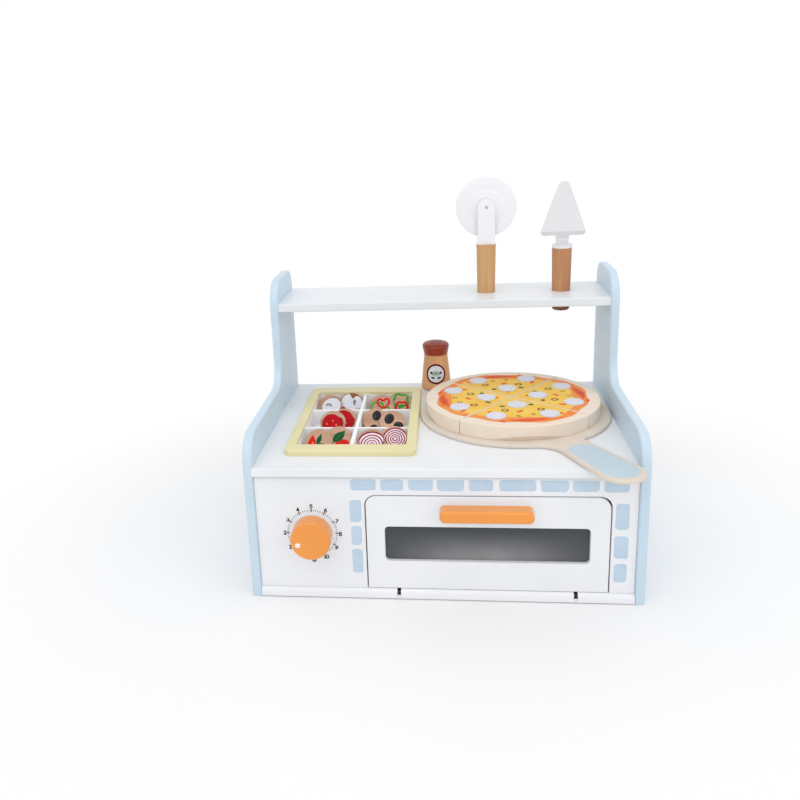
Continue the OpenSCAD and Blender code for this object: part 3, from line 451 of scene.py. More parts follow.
def ink(name, colour, shade, blotches=60.0, sheen=0.1):
    """Printed or brushed ink of two near tones."""
    return dressed(name, INK, {"Colour": linear(*colour), "Shade": linear(*shade),
                               "Blotches": blotches}, {"Specular IOR Level": sheen})


def overlaid(material, mask, colour):
    """Lays a colour over a material's own where the mask is 1."""
    tree = material.node_tree
    socket = tree.nodes[SHADER].inputs["Base Color"]
    tree.links.new(blended(tree, mask, socket.links[0].from_socket, colour), socket)


def fibreboard(tree, place, pale, dark):
    """Colour of raw fibreboard: two tones that change from fibre to fibre."""
    fibres = scaled(tree, noise(tree, place, 700, 3), 0, 1)
    return blended(tree, fibres, linear(*pale), linear(*dark))


def darker_below(material, node):
    """Paints shade on a handle's lowest part, which stands under the shelf: a dark red-brown."""
    tree = material.node_tree
    low = span(node)[0][2]
    full, none, strength = (low + 6) / METRE, (low + 7.5) / METRE, 0.8
    mask = ramp(tree, split(tree, place_in(tree))["Z"], full, none, strength, 0)
    overlaid(material, mask, linear(112, 62, 40))


def quiet_bounce(material, colour):
    """Tames the tint that a strong colour throws on the white boards round it: light that has
    bounced once before it arrives sees a paler colour."""
    bounced = add(material.node_tree, "LightPath").outputs["Is Diffuse Ray"]
    overlaid(material, bounced, linear(*colour))


CAP_DOME_R, CAP_HOLES_R, HOLE_RIM = 34.0, 7.5, 0.15


def dark_holes(material, node):
    """Paints shade in the shaker cap's pouring holes: it darkens what lies under the cap's low
    dome, the walls of the holes. The dome falls from the middle by the square of the radius over
    twice its curvature radius."""
    tree = material.node_tree
    middle, top = middle_of(node), span(node)[1][2]
    peak = (middle[0] / METRE, (middle[1] + FRONT) / METRE, top / METRE)
    off = add(tree, "VectorMath", {0: place_in(tree), 1: peak}, operation="SUBTRACT")
    x, y, z = split(tree, off.outputs[0])
    flat = add(tree, "CombineXYZ", {0: x, 1: y}).outputs[0]
    radius = add(tree, "VectorMath", {0: flat}, operation="LENGTH").outputs["Value"]
    fall = maths(tree, "MULTIPLY", maths(tree, "POWER", radius, 2.0), METRE / (2 * CAP_DOME_R))
    under = maths(tree, "LESS_THAN", maths(tree, "ADD", z, fall), -HOLE_RIM / METRE)
    central = maths(tree, "LESS_THAN", radius, CAP_HOLES_R / METRE)
    overlaid(material, maths(tree, "MULTIPLY", under, central), linear(46, 20, 14))


def raw_below(material, height):
    """Paints a shadow line along a board's lower edge: below a height in millimetres its paint
    gives way to a dark grey-brown fibreboard colour, painted shade where the board overhangs."""
    tree = material.node_tree
    place, soft = place_in(tree), 0.08
    start, end = (height - soft) / METRE, (height + soft) / METRE
    mask = ramp(tree, split(tree, place)["Z"], start, end, 1, 0)
    # The dark fibreboard colour stands in for the shadow under the overhang.
    overlaid(material, mask, fibreboard(tree, place, (124, 118, 114), (98, 92, 88)))


PIN_L, SLOT_HALF, SLOT_DEPTH, SLOT_FLOOR = 18.0, 1.85, 12.0, 2.55
pin_low, pin_high = span("hinge_pins")
SLOT_XS = (pin_low[0] + PIN_L / 2, pin_high[0] - PIN_L / 2)


def raw_slots(material):
    """Stops a board's paint inside the two hinge slots, where the raw brown board shows."""
    tree = material.node_tree
    place = place_in(tree)
    x, y, z = split(tree, place)
    reach = (pin_high[1] + SLOT_DEPTH + FRONT) / METRE
    left, right = (maths(tree, "LESS_THAN", maths(tree, "ABSOLUTE", maths(
        tree, "SUBTRACT", x, slot_x / METRE)), SLOT_HALF / METRE) for slot_x in SLOT_XS)
    mask = maths(tree, "MULTIPLY", maths(tree, "MAXIMUM", left, right),
                 maths(tree, "LESS_THAN", y, reach))
    mask = maths(tree, "MULTIPLY", mask, maths(tree, "GREATER_THAN", z, SLOT_FLOOR / METRE))
    overlaid(material, mask, fibreboard(tree, place, (150, 108, 74), (118, 82, 54)))


def steel_material():
    """Zinc-plated steel: brushed streaks in the roughness and a faint drift in the colour."""
    material, tree, sockets = finish_of("Zinc-plated steel", {"Metallic": 1})
    place = place_in(tree)
    streaks = noise(tree, stretched(tree, place, 0.1), 1200)
    tree.links.new(scaled(tree, streaks, 0.25, 0.42), sockets["Roughness"])
    drift = noise(tree, place, 60)
    tree.links.new(blended(tree, drift, linear(196, 198, 202), linear(178, 181, 187)),
                   sockets["Base Color"])
    return material


def blackened_material():
    """Blackened steel of the hinges: dark brown oxide, rubbed paler in patches."""
    material, tree, sockets = finish_of("Blackened steel", {"Metallic": 0.6})
    rub = noise(tree, place_in(tree), 260, 4)
    tree.links.new(blended(tree, scaled(tree, rub, 0, 1), linear(54, 46, 42), linear(84, 74, 68)),
                   sockets["Base Color"])
    tree.links.new(scaled(tree, rub, 0.45, 0.62), sockets["Roughness"])
    return material


def pane_material():
    """Grey-tinted clear sheet that lets a little of the dark oven show through. A painted
    reflection of the pale table makes its colour paler towards the middle of its lower edge."""
    material, tree, sockets = finish_of("Grey-tinted pane", {
        "Alpha": 0.93, "Specular IOR Level": 0.4})
    place = place_in(tree)
    x, y, z = split(tree, place)
    low, high = (corner / METRE for corner in span("door_window"))
    foot, head, core, reach, edge = 0.004, 0.008, 0.015, 0.1, 0.12
    rise = ramp(tree, z, low[2] + foot, high[2] - head, 1, 0, "SMOOTHSTEP")
    off = maths(tree, "ABSOLUTE", maths(tree, "SUBTRACT", x, (low[0] + high[0]) / 2))
    across = ramp(tree, off, core, reach, 1, edge, "SMOOTHSTEP")
    smears = noise(tree, place, 35, 4)
    painted_reflection = maths(tree, "MULTIPLY", maths(tree, "MULTIPLY", rise, scaled(tree, smears, 0.85, 1.1)),
                 across)
    # The paler grey is a painted reflection of the pale table.
    tree.links.new(blended(tree, painted_reflection, linear(66, 70, 75), linear(142, 142, 144)),
                   sockets["Base Color"])
    tree.links.new(scaled(tree, smears, 0.12, 0.2), sockets["Roughness"])
    return material


def loop_material():
    """Woven loop tape: a mat of tiny loops in its bump and a soft sheen."""
    material, tree, sockets = finish_of("White loop tape", {"Sheen Weight": 0.3})
    place = place_in(tree)
    loops = add(tree, "TexVoronoi", {"Vector": place, "Scale": 1400}).outputs["Distance"]
    fuzz = noise(tree, place, 500, 3)
    pale, dark = linear(226, 228, 238), linear(205, 208, 222)
    tree.links.new(blended(tree, scaled(tree, fuzz, 0, 1), pale, dark), sockets["Base Color"])
    tree.links.new(bumped(tree, loops, 0.35, 0.0005), sockets["Normal"])
    tree.links.new(scaled(tree, fuzz, 0.8, 0.95), sockets["Roughness"])
    return material


# Paints: tone, shade, gloss range
LACQUER, SATIN = (0.3, 0.42), (0.4, 0.5)
blue_paint = painted("Pale blue paint", (200, 219, 233), (194, 215, 231))
white_paint = painted("White paint", (238, 239, 242), (233, 235, 239), LACQUER)
# The shelf's white is a darker, bluer copy of the white paint: painted shade and a painted
# reflection of the blue panels.
shaded_shelf_white = painted("Shelf white paint with painted shade", (228, 232, 236), (223, 229, 234), LACQUER)
# The worktop's white gets a painted shadow line along its lowest edge.
top_white = painted("White paint with painted shadow line", (236, 238, 241), (231, 234, 238), LACQUER)
base_white = painted("White paint with raw slots", (240, 241, 244), (235, 237, 241), LACQUER)
raw_slots(base_white)
# The tray's white is brighter than the other whites: painted light in the tray's shaded inside.
lit_tray_white = painted("Tray white paint with painted light", (251, 251, 252), (247, 248, 249))
orange_paint = painted("Orange paint", (241, 151, 42), (237, 144, 38), (0.34, 0.46), coat=0.9)
quiet_bounce(orange_paint, (226, 206, 190))
yellow_paint = painted("Pale yellow paint", (231, 222, 174), (226, 216, 165), (0.4, 0.52))
white_wood = painted("White lacquer on turned wood", (241, 241, 244), (236, 237, 241), SATIN)
# The blade's white lacquer is a darker copy of the turned wood's: painted shade.
shaded_blade_white = painted("White lacquer on the blade with painted shade", (227, 227, 230), (222, 223, 227), SATIN)
cap_brown = painted("Red-brown cap stain", (160, 60, 22), (146, 50, 18), (0.34, 0.44), 0.05, 0.1)
# Painted shade darkens the walls of the cap's pouring holes.
dark_holes(cap_brown, "shaker_cap")

# Woods: pale, dark, direction of the grain, bands, gloss
crust_wood = timber("Pale crust wood", (240, 227, 212), (234, 216, 197), 10, 60, 0.5)
peel_wood = timber("Pale peel plywood", (222, 212, 201), (214, 202, 188), -63, 70, 0.5)
disc_wood = timber("Topping disc wood", (210, 170, 144), (176, 132, 106), 0, 95, 0.6)
shaker_wood = timber("Shaker wood", (231, 177, 126), (212, 154, 104), None, 60, 0.42, 0.05)
pale_grip = timber("Pale turned handle", (211, 167, 114), (190, 143, 92), None, 90, 0.4, 0.15)
red_grip = timber("Warm turned handle", (200, 144, 98), (170, 112, 72), None, 110, 0.4, 0.15)
# Painted shade darkens the server handle's lowest part, under the shelf.
darker_below(red_grip, "server_handle")
raw_board = timber("Raw fibreboard", (158, 120, 86), (132, 96, 66), 0, 160, 0.75)

# Inks and brushed fields: tone, shade, blotches, sheen
brick_ink = ink("Pale blue brick ink", (193, 212, 229), (184, 206, 224), 70, 0.4)
inlay_paint = ink("Pale blue handle field", (191, 208, 218), (186, 204, 215), 40, 0.4)
dial_ink = ink("Dark dial ink", (24, 16, 16), (38, 28, 28))
pointer_white = ink("White pointer dot", (246, 244, 242), (238, 236, 234))
hook_patch = ink("Felt hook patch", (206, 200, 196), (188, 182, 178), 200)
red_ink = ink("Bright red ink", (218, 36, 26), (202, 26, 22), 160)
dark_red_ink = ink("Dark red ink", (128, 20, 34), (112, 14, 30), 160)
salami_ink = ink("Salami red ink", (192, 14, 26), (172, 8, 20), 220)
green_ink = ink("Leaf green ink", (20, 96, 52), (12, 76, 42), 160)
bright_green_ink = ink("Bright green ink", (72, 168, 66), (54, 150, 58), 160)
black_ink = ink("Olive black ink", (28, 28, 30), (46, 46, 50), 120)
grey_ink = ink("Olive sheen ink", (78, 80, 88), (56, 58, 66), 200)
white_ink = ink("Warm white ink", (231, 231, 238), (220, 220, 230), 160, 0.3)
brown_ink = ink("Brown outline ink", (168, 104, 62), (150, 90, 54), 160)
olive_ink = ink("Dark olive ink", (74, 72, 30), (92, 88, 40), 160)
yellow_ink = ink("Yellow seed ink", (240, 178, 60), (232, 164, 50), 160)
maroon_ink = ink("Onion maroon ink", (150, 28, 62), (134, 20, 54), 160)
pink_ink = ink("Onion white ink", (242, 232, 236), (232, 212, 222), 160)
pale_green_ink = ink("Pale sprig ink", (126, 190, 156), (108, 174, 140), 160)
label_rim_ink = ink("Label rim ink", (108, 22, 24), (92, 16, 18), 160)
sauce_ink = ink("Sauce orange print", (238, 152, 80), (236, 126, 44), 45)
cheese_ink = ink("Cheese yellow print", (242, 204, 94), (240, 188, 74), 55)
streak_ink = ink("Sauce red streak print", (220, 96, 60), (212, 78, 46), 120)
warm_ink = ink("Sauce streak edge print", (238, 112, 52), (236, 98, 44), 120)
bit_ink = ink("Red flake print", (234, 88, 42), (224, 70, 34), 160)
ring_ink = ink("Dark ring print", (44, 34, 14), (62, 52, 22), 160)
herb_ink = ink("Dark herb print", (34, 104, 74), (24, 84, 62), 160)

steel = steel_material()
blackened_steel = blackened_material()
tinted_pane = pane_material()
loop_tape = loop_material()


# ---------------------------------------------------------------- cabinet

BOARD_EDGE, PANEL_EDGE = 1.3, 2.0       # rounding of the boards' and of the side panels' edges
TUCK = 1.0              # how far a board's ends are tucked into the side panels

panel_high = span("side_panel_left")[1]
shelf_low, shelf_high = span("shelf")
top_low, top_high = span("worktop")
base_low, base_high = span("base_board")
face_low, face_high = span("front_panel")
door_low, door_high = span("door_panel")
cabinet_depth, panel_height = panel_high[1], panel_high[2]

SHOULDER_RISE, SHOULDER_R = 30, 30      # front shoulder of the side panels, above the worktop
SWEEP_R, CROWN_R, REAR_R = 24, 30, 20
SHELF_SETBACK = 2


def panel_outline():
    """Side panel seen from the right, (depth, height): up the front, round the shoulder, along
    to the sweep, up to the round crown and down the back."""
    shoulder = top_high[2] + SHOULDER_RISE
    riser = shelf_low[1] - SHELF_SETBACK
    return np.vstack([
        [[0, 0], [cabinet_depth, 0]],
        arc((cabinet_depth - REAR_R, panel_height - REAR_R), REAR_R, 0, 90, 16),
        arc((riser + CROWN_R, panel_height - CROWN_R), CROWN_R, 90, 180, 16),
        arc((riser - SWEEP_R, shoulder + SWEEP_R), SWEEP_R, 0, -90, 14),
        arc((SHOULDER_R, shoulder - SHOULDER_R), SHOULDER_R, 90, 180, 16)])


SCREW_R, SCREW_HEAD_R = 1.8, 3.55


def screw_places():
    """Where screws enter a side panel, (depth, height)."""
    rails = [(top_low[2] + top_high[2]) / 2, (base_low[2] + base_high[2]) / 2]
    places = [(cabinet_depth * part, z) for z in rails for part in (0.2, 0.85)]
    deep, shelf_z = shelf_high[1] - shelf_low[1], (shelf_low[2] + shelf_high[2]) / 2
    places += [(shelf_low[1] + deep * part, shelf_z) for part in (0.25, 0.8)]
    return places + [((face_low[1] + face_high[1]) / 2, (base_high[2] + top_low[2]) / 2)]


def side_panel(node, sink_low):
    """Side panel whose screw holes are countersunk on its outer face: the low one or the high."""
    low, high = span(node)
    thick = high[0] - low[0]
    sink = SCREW_HEAD_R - SCREW_R
    if sink_low:
        rows = [(-sink, 0), (0, sink), (0, thick)]
    else:
        rows = [(0, 0), (0, thick - sink), (-sink, thick)]
    holes = [circle(SCREW_R, 24, place) for place in screw_places()]
    piece(node + "_dressed", solid(
        stand("right", (low[0], 0, 0)), panel_outline(), rounded(thick, PANEL_EDGE, PANEL_EDGE),
        holes, np.array(rows, float)), "cabinet", blue_paint, [node])


side_panel("side_panel_left", True)
side_panel("side_panel_right", False)


def level_board(node, holes, hole_edges, material):
    """Worktop or shelf: rounded edges, its ends tucked into the side panels, and holes whose
    own edges are rounded by the low and the high radius given."""
    low, high = span(node)
    height = high[2] - low[2]
    piece(node + "_dressed", solid(
        level_at(low[2]), box_outline((low, high), 1, TUCK),
        rounded(height, BOARD_EDGE, BOARD_EDGE), holes, rounded(height, *hole_edges)),
        "cabinet", material, [node])


CUTOUT_GAP, CUTOUT_R, CUTOUT_EDGES = 0.5, 3.5, (0.3, 0.5)       # the tray's cut-out
SHADOW_LINE_RISE = 0.5                      # how far up the worktop's edge its painted shadow line reaches
tray_well = span("tray_box")
# A painted shadow line: the worktop's lowest half millimetre of edge is painted dark, for the shade
# under its overhang.
raw_below(top_white, top_low[2] + SHADOW_LINE_RISE)
level_board("worktop", [box_outline(tray_well, 1, CUTOUT_GAP, CUTOUT_GAP, CUTOUT_R)],
            CUTOUT_EDGES, top_white)

TOOL_HOLES = {"cutter_handle": 9.9, "server_handle": 10.0}      # radii in the shelf
TOOL_HOLE_EDGES = (0.3, 0.3, 3)     # low radius, high radius, steps
tool_y = middle_of("shelf")[1]
level_board("shelf", [circle(radius, 64, (middle_of(tool)[0], tool_y))
                      for tool, radius in TOOL_HOLES.items()], TOOL_HOLE_EDGES, shaded_shelf_white)

# Front panel, cut up from below for the door
DOOR_GAP, DOOR_R = 1.0, 10.0
DOOR_DROP = 0.3         # how far the dressed door reaches down into the gap under it
DOOR_WORN = 2.0         # its top right corner is sanded rounder than the opening
opening_left, opening_right = door_low[0] - DOOR_GAP, door_high[0] + DOOR_GAP
opening_top = door_high[2] + DOOR_GAP
HEAD_R = DOOR_R + DOOR_GAP          # round of the opening's two upper corners
FRONT_EDGES = (0.4, 0.8)            # rounding at the front panel's back and at its face
head_z = opening_top - HEAD_R
front_outline = np.vstack([
    [[face_low[0], face_low[2]], [opening_left, face_low[2]]],
    arc((opening_left + HEAD_R, head_z), HEAD_R, 180, 90, 12),
    arc((opening_right - HEAD_R, head_z), HEAD_R, 90, 0, 12),
    [[opening_right, face_low[2]], [face_high[0], face_low[2]], face_high[[0, 2]],
     [face_low[0], face_high[2]]]])
piece("front_panel_dressed", solid(
    upright_at(face_high[1]), front_outline,
    rounded(face_high[1] - face_low[1], *FRONT_EDGES)),
    "cabinet", white_paint, ["front_panel"])

# ---------------------------------------------------------------- door

window = window_low, window_high = span("door_window")
PANE_RIM, WINDOW_R, PANE_EDGE = 6.0, 4.0, 0.3
DOOR_EDGE, DOOR_BACK_EDGE, WINDOW_EDGE, RABBET_EDGE = 1.0, 0.8, 1.2, 0.2
RABBET_GAP, CATCH_GAP, PANE_GAP = 0.1, 0.05, 0.05       # clearances round pane and catch plate
opening = box_outline(window, 2, -PANE_RIM, -PANE_RIM, WINDOW_R)
rabbet = box_outline(window, 2, RABBET_GAP, RABBET_GAP, WINDOW_R)
catch_recess = box_outline(span("catch_plate"), 2, CATCH_GAP, CATCH_GAP, CATCH_GAP, 1)


def door_board():
    """Door in two layers that meet at the pane's face: the back one is cut wider, so that the
    pane lies in a rabbet."""
    outline = round_rect(door_low[0], door_high[0], door_low[2] - DOOR_DROP, door_high[2],
                         (0, 0, DOOR_R + DOOR_WORN, DOOR_R), 10)
    lip = window_low[1] - door_low[1]
    back = door_high[1] - window_low[1]
    front_layer = solid(upright_at(window_low[1]), outline, rounded(lip, 0, DOOR_EDGE),
                        [opening], rounded(lip, 0, WINDOW_EDGE))
    back_layer = solid(upright_at(door_high[1]), outline, rounded(back, DOOR_BACK_EDGE, 0),
                       [rabbet, catch_recess], rounded(back, RABBET_EDGE, 0, 2))
    piece("door_board", several([front_layer, back_layer]), "door", white_paint,
          ["door_panel"])


door_board()
piece("door_pane", solid(
    upright_at(window_high[1]), box_outline(window, 2, radii=WINDOW_R),
    rounded(window_high[1] - window_low[1] - PANE_GAP, PANE_EDGE, PANE_EDGE, 2)),
    "door", tinted_pane, ["door_window"])

BAR_R, BAR_EDGE = 5, 3          # round of the handle bar's outline and of its front edges
handle = handle_low, handle_high = span("door_handle")
piece("door_handle_bar", solid(
    upright_at(handle_high[1]), box_outline(handle, 2, radii=BAR_R, steps=10),
    rounded(handle_high[1] - handle_low[1], 0, BAR_EDGE, 8)),
    "door", orange_paint, ["door_handle"])

# Lips that close the front of the hinge slots, a little wider than the slots
LIP_TOP, LIP_T, LIP_GAP = 4.9, 0.35, 0.1
LIP_FOOT, LIP_BACK, LIP_EDGE = 0.05, 0.02, 0.1
lips = [round_rect(x - SLOT_HALF - LIP_GAP, x + SLOT_HALF + LIP_GAP, base_low[2] + LIP_FOOT,
                   LIP_TOP, LIP_FOOT, 1) for x in SLOT_XS]
on_lips = upright_at(base_low[1] + LIP_T + LIP_BACK)
piece("hinge_slot_lips", several([solid(on_lips, lip, rounded(LIP_T, 0, LIP_EDGE, 2))
                                  for lip in lips]), "cabinet", white_paint)

# ---------------------------------------------------------------- printed bricks

PRINT_T = 0.05      # thickness of a layer of print
PRINT_SINK = 0.05   # how far a print starts inside the wood


def printed(place, outline, layer=0):
    """Thin flat patch of ink on a surface; a higher layer lies over a lower one."""
    return solid(place, outline, np.array([[0, -PRINT_SINK], [0, PRINT_T * (1 + layer)]]))


def printed_ring(place, outer, inner, layer=0):
    """Thin closed band of ink between two loops that have the same number of points."""
    origin, u, v, w = place
    top = PRINT_T * (1 + layer)
    rows = [(inner, top), (outer, top), (outer, -PRINT_SINK), (inner, -PRINT_SINK)]
    return closed_grid(np.stack([
        origin + np.outer(loop[:, 0], u) + np.outer(loop[:, 1], v) + height * w
        for loop, height in rows]))


rng = np.random.default_rng(7)


def wander(turn, size, waves):
    """Slow random curve round a closed outline: a few sines, each of its own height and phase."""
    return sum(rng.normal(0, size / k) * np.sin(k * turn + rng.uniform(0, 6.3)) for k in waves)


def hand_cut(x0, x1, z0, z1, corner=3.0, wobble=0.5):
    """Rectangle drawn by hand: round corners, and sides that wander."""
    base = round_rect(x0, x1, z0, z1, corner, 6)
    turn = np.linspace(0, 2 * np.pi, len(base), endpoint=False)
    return base + wander(turn, wobble, (2, 3, 5, 7))[:, None] * outward(base)


TOP_ROW_Z = (113.3, 124.6)
TOP_ROW = [(-85.1, -60.9), (-56.6, -35.1), (-30.2, -7.9), (-3.9, 21.1), (25.2, 47.3),
           (52.9, 86.1), (90.1, 115.1), (118.8, 142.1), (146.0, 168.8)]
LEFT_X, LEFT_COLUMN = (-86.3, -75.8), [(80.4, 103.8), (56.6, 76.0), (26.7, 52.0)]
RIGHT_X, RIGHT_COLUMN = (157.6, 169.4), [(75.7, 102.0), (45.7, 69.5), (21.7, 40.7)]

on_front = upright_at(face_low[1])
bricks = [hand_cut(*x, *TOP_ROW_Z) for x in TOP_ROW]
bricks += [hand_cut(*LEFT_X, *z) for z in LEFT_COLUMN]
bricks += [hand_cut(*RIGHT_X, *z) for z in RIGHT_COLUMN]
piece("painted_bricks", several([printed(on_front, b) for b in bricks]), "cabinet", brick_ink)

# ---------------------------------------------------------------- dial

knob_low, knob_high = span("dial_knob")
dial_x, dial_z = middle_of("dial_knob")[[0, 2]]
SCALE_RISE = 0.6    # the printed ring stands a little above the knob's middle
TICK_IN, TICK_OUT, TICK_WIDE = 22.3, 25.2, 1.1
FINE_IN, FINE_OUT, FINE_WIDE = 22.9, 24.6, 0.48
NUMBER_R, NUMBER_WIDE = 27.9, 0.965     # the numbers' ring, drawn in a little sideways
NUMBER_H, NOUGHT_H = 3.9, 5.4
STEP = 30           # degrees from one number to the next; 5 is at the top
FINE_TICKS = 6
TILTS = {4: 8, 6: -10, 7: -18, 9: -22, 10: -8}                          # degrees
NUDGES = {1: -2.8, 4: 1.2, 6: 0.7, 7: 2.8, 8: 1.4, 9: 3.2, 10: 3.4}     # degrees clockwise


def bearing_of(number):
    """Bearing of a number in degrees clockwise from straight down; nought is alone there."""
    return STEP * (number + 1) if number else 0


def mark(radius_in, radius_out, width, turn):
    """One short line of the scale at a bearing from straight down, clockwise."""
    bar = np.array([[radius_in, -width / 2], [radius_out, -width / 2],
                    [radius_out, width / 2], [radius_in, width / 2]])
    return printed(on_front, moved(bar, dial_x, dial_z + SCALE_RISE, 270 - turn))


scale = [mark(TICK_IN, TICK_OUT, TICK_WIDE, bearing_of(n)) for n in range(1, 11)]
scale += [mark(FINE_IN, FINE_OUT, FINE_WIDE, bearing_of(n) + STEP * k / FINE_TICKS)
          for n in range(1, 10) for k in range(1, FINE_TICKS)]
piece("dial_scale", several(scale), "cabinet", dial_ink)

DIGITS = {      # open strokes of each digit in a box one high, about its middle
    0: [],
    1: [[(-0.2, 0.3), (0.04, 0.46)], [(0.04, 0.46), (0.04, -0.46)], [(-0.2, -0.46), (0.26, -0.46)]],
    2: [[(-0.27, 0.24), (-0.12, 0.43), (0.14, 0.43), (0.26, 0.2), (0.08, -0.12), (-0.27, -0.45)],
        [(-0.27, -0.45), (0.3, -0.45)]],
    3: [[(-0.25, 0.34), (0.0, 0.46), (0.24, 0.26), (-0.02, 0.03)],
        [(-0.02, 0.03), (0.28, -0.2), (0.02, -0.46), (-0.28, -0.34)]],
    4: [[(0.12, -0.46), (0.12, 0.46)], [(0.12, 0.46), (-0.3, -0.16)],
        [(-0.3, -0.16), (0.32, -0.16)]],
    5: [[(0.26, 0.45), (-0.2, 0.45)], [(-0.2, 0.45), (-0.24, 0.06)],
        [(-0.24, 0.06), (0.06, 0.13), (0.28, -0.14), (0.04, -0.46), (-0.27, -0.36)]],
    6: [[(0.16, 0.47), (-0.1, 0.28), (-0.24, -0.1)]],
    7: [[(-0.28, 0.45), (0.28, 0.45)], [(0.28, 0.45), (-0.06, -0.46)]],
    8: [],
    9: [[(-0.16, -0.47), (0.1, -0.28), (0.24, 0.1)]],
}
EYES = {        # closed ovals of a digit: middle, width, height
    0: [(0, 0, 0.6, 0.92)], 6: [(0, -0.2, 0.56, 0.54)], 9: [(0, 0.2, 0.56, 0.54)],
    8: [(0, 0.24, 0.46, 0.44), (0, -0.22, 0.56, 0.5)],
}
STROKE, DIGIT_PITCH = 0.25, 0.62        # for a digit one high


def number_shapes(number):
    """A printed number as strokes and ovals, turned to its tilt, at its place on the scale."""
    height = NUMBER_H if number else NOUGHT_H
    angle = math.radians(270 - bearing_of(number) - NUDGES.get(number, 0))
    x = dial_x + NUMBER_WIDE * NUMBER_R * math.cos(angle)
    z = dial_z + SCALE_RISE + NUMBER_R * math.sin(angle)
    here = (x, z, TILTS.get(number, 0), height)
    for place, digit in enumerate(str(number)):
        shift = DIGIT_PITCH * (place - (len(str(number)) - 1) / 2)
        for stroke in DIGITS[int(digit)]:
            yield printed(on_front, moved(band(np.array(stroke) + (shift, 0), STROKE), *here))
        for mid_x, mid_z, wide, high in EYES.get(int(digit), []):
            sizes = [((wide + side) / 2, (high + side) / 2) for side in (STROKE, -STROKE)]
            loops = [moved(circle(1, 32) * size + (mid_x + shift, mid_z), *here) for size in sizes]
            yield printed_ring(on_front, *loops)


piece("dial_numbers", several([shape for n in range(11) for shape in number_shapes(n)]), "cabinet",
      dial_ink)

knob_r = (knob_high[0] - knob_low[0]) / 2
KNOB_FOOT_EDGE, KNOB_EDGE = 0.4, 1.8
piece("turned_knob", solid(stand("viewer", (dial_x, knob_high[1], dial_z)), circle(knob_r, 128),
                           rounded(knob_high[1] - knob_low[1], KNOB_FOOT_EDGE, KNOB_EDGE, 6)),
      "dial", orange_paint, ["dial_knob"])

DOT_R, DOT_OUT, DOT_ANGLE = 2.5, 12.6, 198
dot_x = dial_x + DOT_OUT * math.cos(math.radians(DOT_ANGLE))
dot_z = dial_z + DOT_OUT * math.sin(math.radians(DOT_ANGLE))
DOT_DOME = [(1.0, -0.1), (1.0, 0.05), (0.9, 0.16), (0.6, 0.24), (0.2, 0.28)]    # share of R, rise
piece("pointer_dot", lathe(stand("viewer", (dot_x, knob_low[1], dot_z)),
                           [(DOT_R * part, rise) for part, rise in DOT_DOME], 48),
      "dial", pointer_white)


# ---------------------------------------------------------------- topping tray

tray_span = tray_low, tray_high = span("tray_frame")
SIDE_RAIL, END_RAIL, FRAME_R, BOX_GAP = 10.0, 18.0, 8.0, 0.1
INSIDE_R, BOX_R = 0.6, 3
FRAME_FOOT_EDGE, FRAME_EDGE, INNER_EDGE = 0.3, 1.5, 0.7
rim = tray_well[1][2]           # top of the tray's box
frame_outline = box_outline(tray_span, 1, radii=FRAME_R, steps=10)
inside = box_outline(tray_span, 1, -SIDE_RAIL, -END_RAIL, INSIDE_R, 3)
round_box = box_outline(tray_well, 1, BOX_GAP, BOX_GAP, BOX_R, 4)
piece("tray_frame_rails", several([
    solid(level_at(tray_low[2]), frame_outline, rounded(rim - tray_low[2], FRAME_FOOT_EDGE, 0),
          [round_box], rounded(rim - tray_low[2], 0, 0)),
    solid(level_at(rim), frame_outline, rounded(tray_high[2] - rim, 0, FRAME_EDGE),
          [inside], rounded(tray_high[2] - rim, 0, INNER_EDGE, 4))]),
    "tray", yellow_paint, ["tray_frame"])

LONG_DIVIDER, CROSS_DIVIDER = 4.0, 3.0


def dividers():
    """Long divider with two cross dividers, one outline like a double cross."""
    low, high = span("tray_dividers")
    half_l, half_w = (high[1] - low[1]) / 2, (high[0] - low[0]) / 2
    mid_x, mid_y = middle_of("tray_dividers")[:2]
    cell = (2 * half_l - 2 * CROSS_DIVIDER) / 3
    a, near, far = LONG_DIVIDER / 2, cell / 2, cell / 2 + CROSS_DIVIDER
    right = [(a, -half_l), (a, -far), (half_w, -far), (half_w, -near), (a, -near),
             (a, near), (half_w, near), (half_w, far), (a, far), (a, half_l)]
    outline = np.array(right + [(-x, y) for x, y in right[::-1]]) + (mid_x, mid_y)
    piece("tray_divider_grid", solid(level_at(low[2]), outline,
                                     rounded(high[2] - low[2], 0, INNER_EDGE, 4)),
          "tray", lit_tray_white, ["tray_dividers"])


dividers()

# ---------------------------------------------------------------- topping discs

DISC_R, DISC_T, LEAN = 14.0, 3.5, 50.0
PATCH_R, PATCH_T, PATCH_SINK = 8.0, 1.2, 0.05
DISC_EDGE, PATCH_EDGE = 0.5, 0.4


def ring(x, y, outer, inner, wobble, steps):
    """Round band about (x, y): its outer and its inner loop."""
    turn = np.linspace(0, 2 * np.pi, steps, endpoint=False)
    wave = 1 + wobble * wander(turn, 1, (2, 3, 4))
    loop = np.column_stack([np.cos(turn), np.sin(turn)]) * wave[:, None]
    return outer * loop + (x, y), inner * loop + (x, y)


def oval(x, y, width, height, turn=0.0, steps=40):
    """Ellipse about (x, y): a circle drawn out to its width and height, then turned."""
    return moved(circle(1, steps) * (width / 2, height / 2), x, y, turn)


def leaf(x, y, length, width, turn):
    """Pointed leaf from its stalk at (x, y): two arcs of a sine that meet at its tip."""
    t = np.linspace(0, 1, 16)
    side = width / 2 * np.sin(np.pi * t ** 0.8)
    edge = np.vstack([np.column_stack([t * length, -side])[:-1],
                      np.column_stack([t * length, side])[:0:-1]])
    return moved(edge, x, y, turn)


def clipped(outline, radius):
    """The outline drawn in to the disc's printed circle where it would run past it."""
    reach = np.linalg.norm(outline, axis=1, keepdims=True)
    return outline * np.minimum(1, radius / np.maximum(reach, 1e-9))


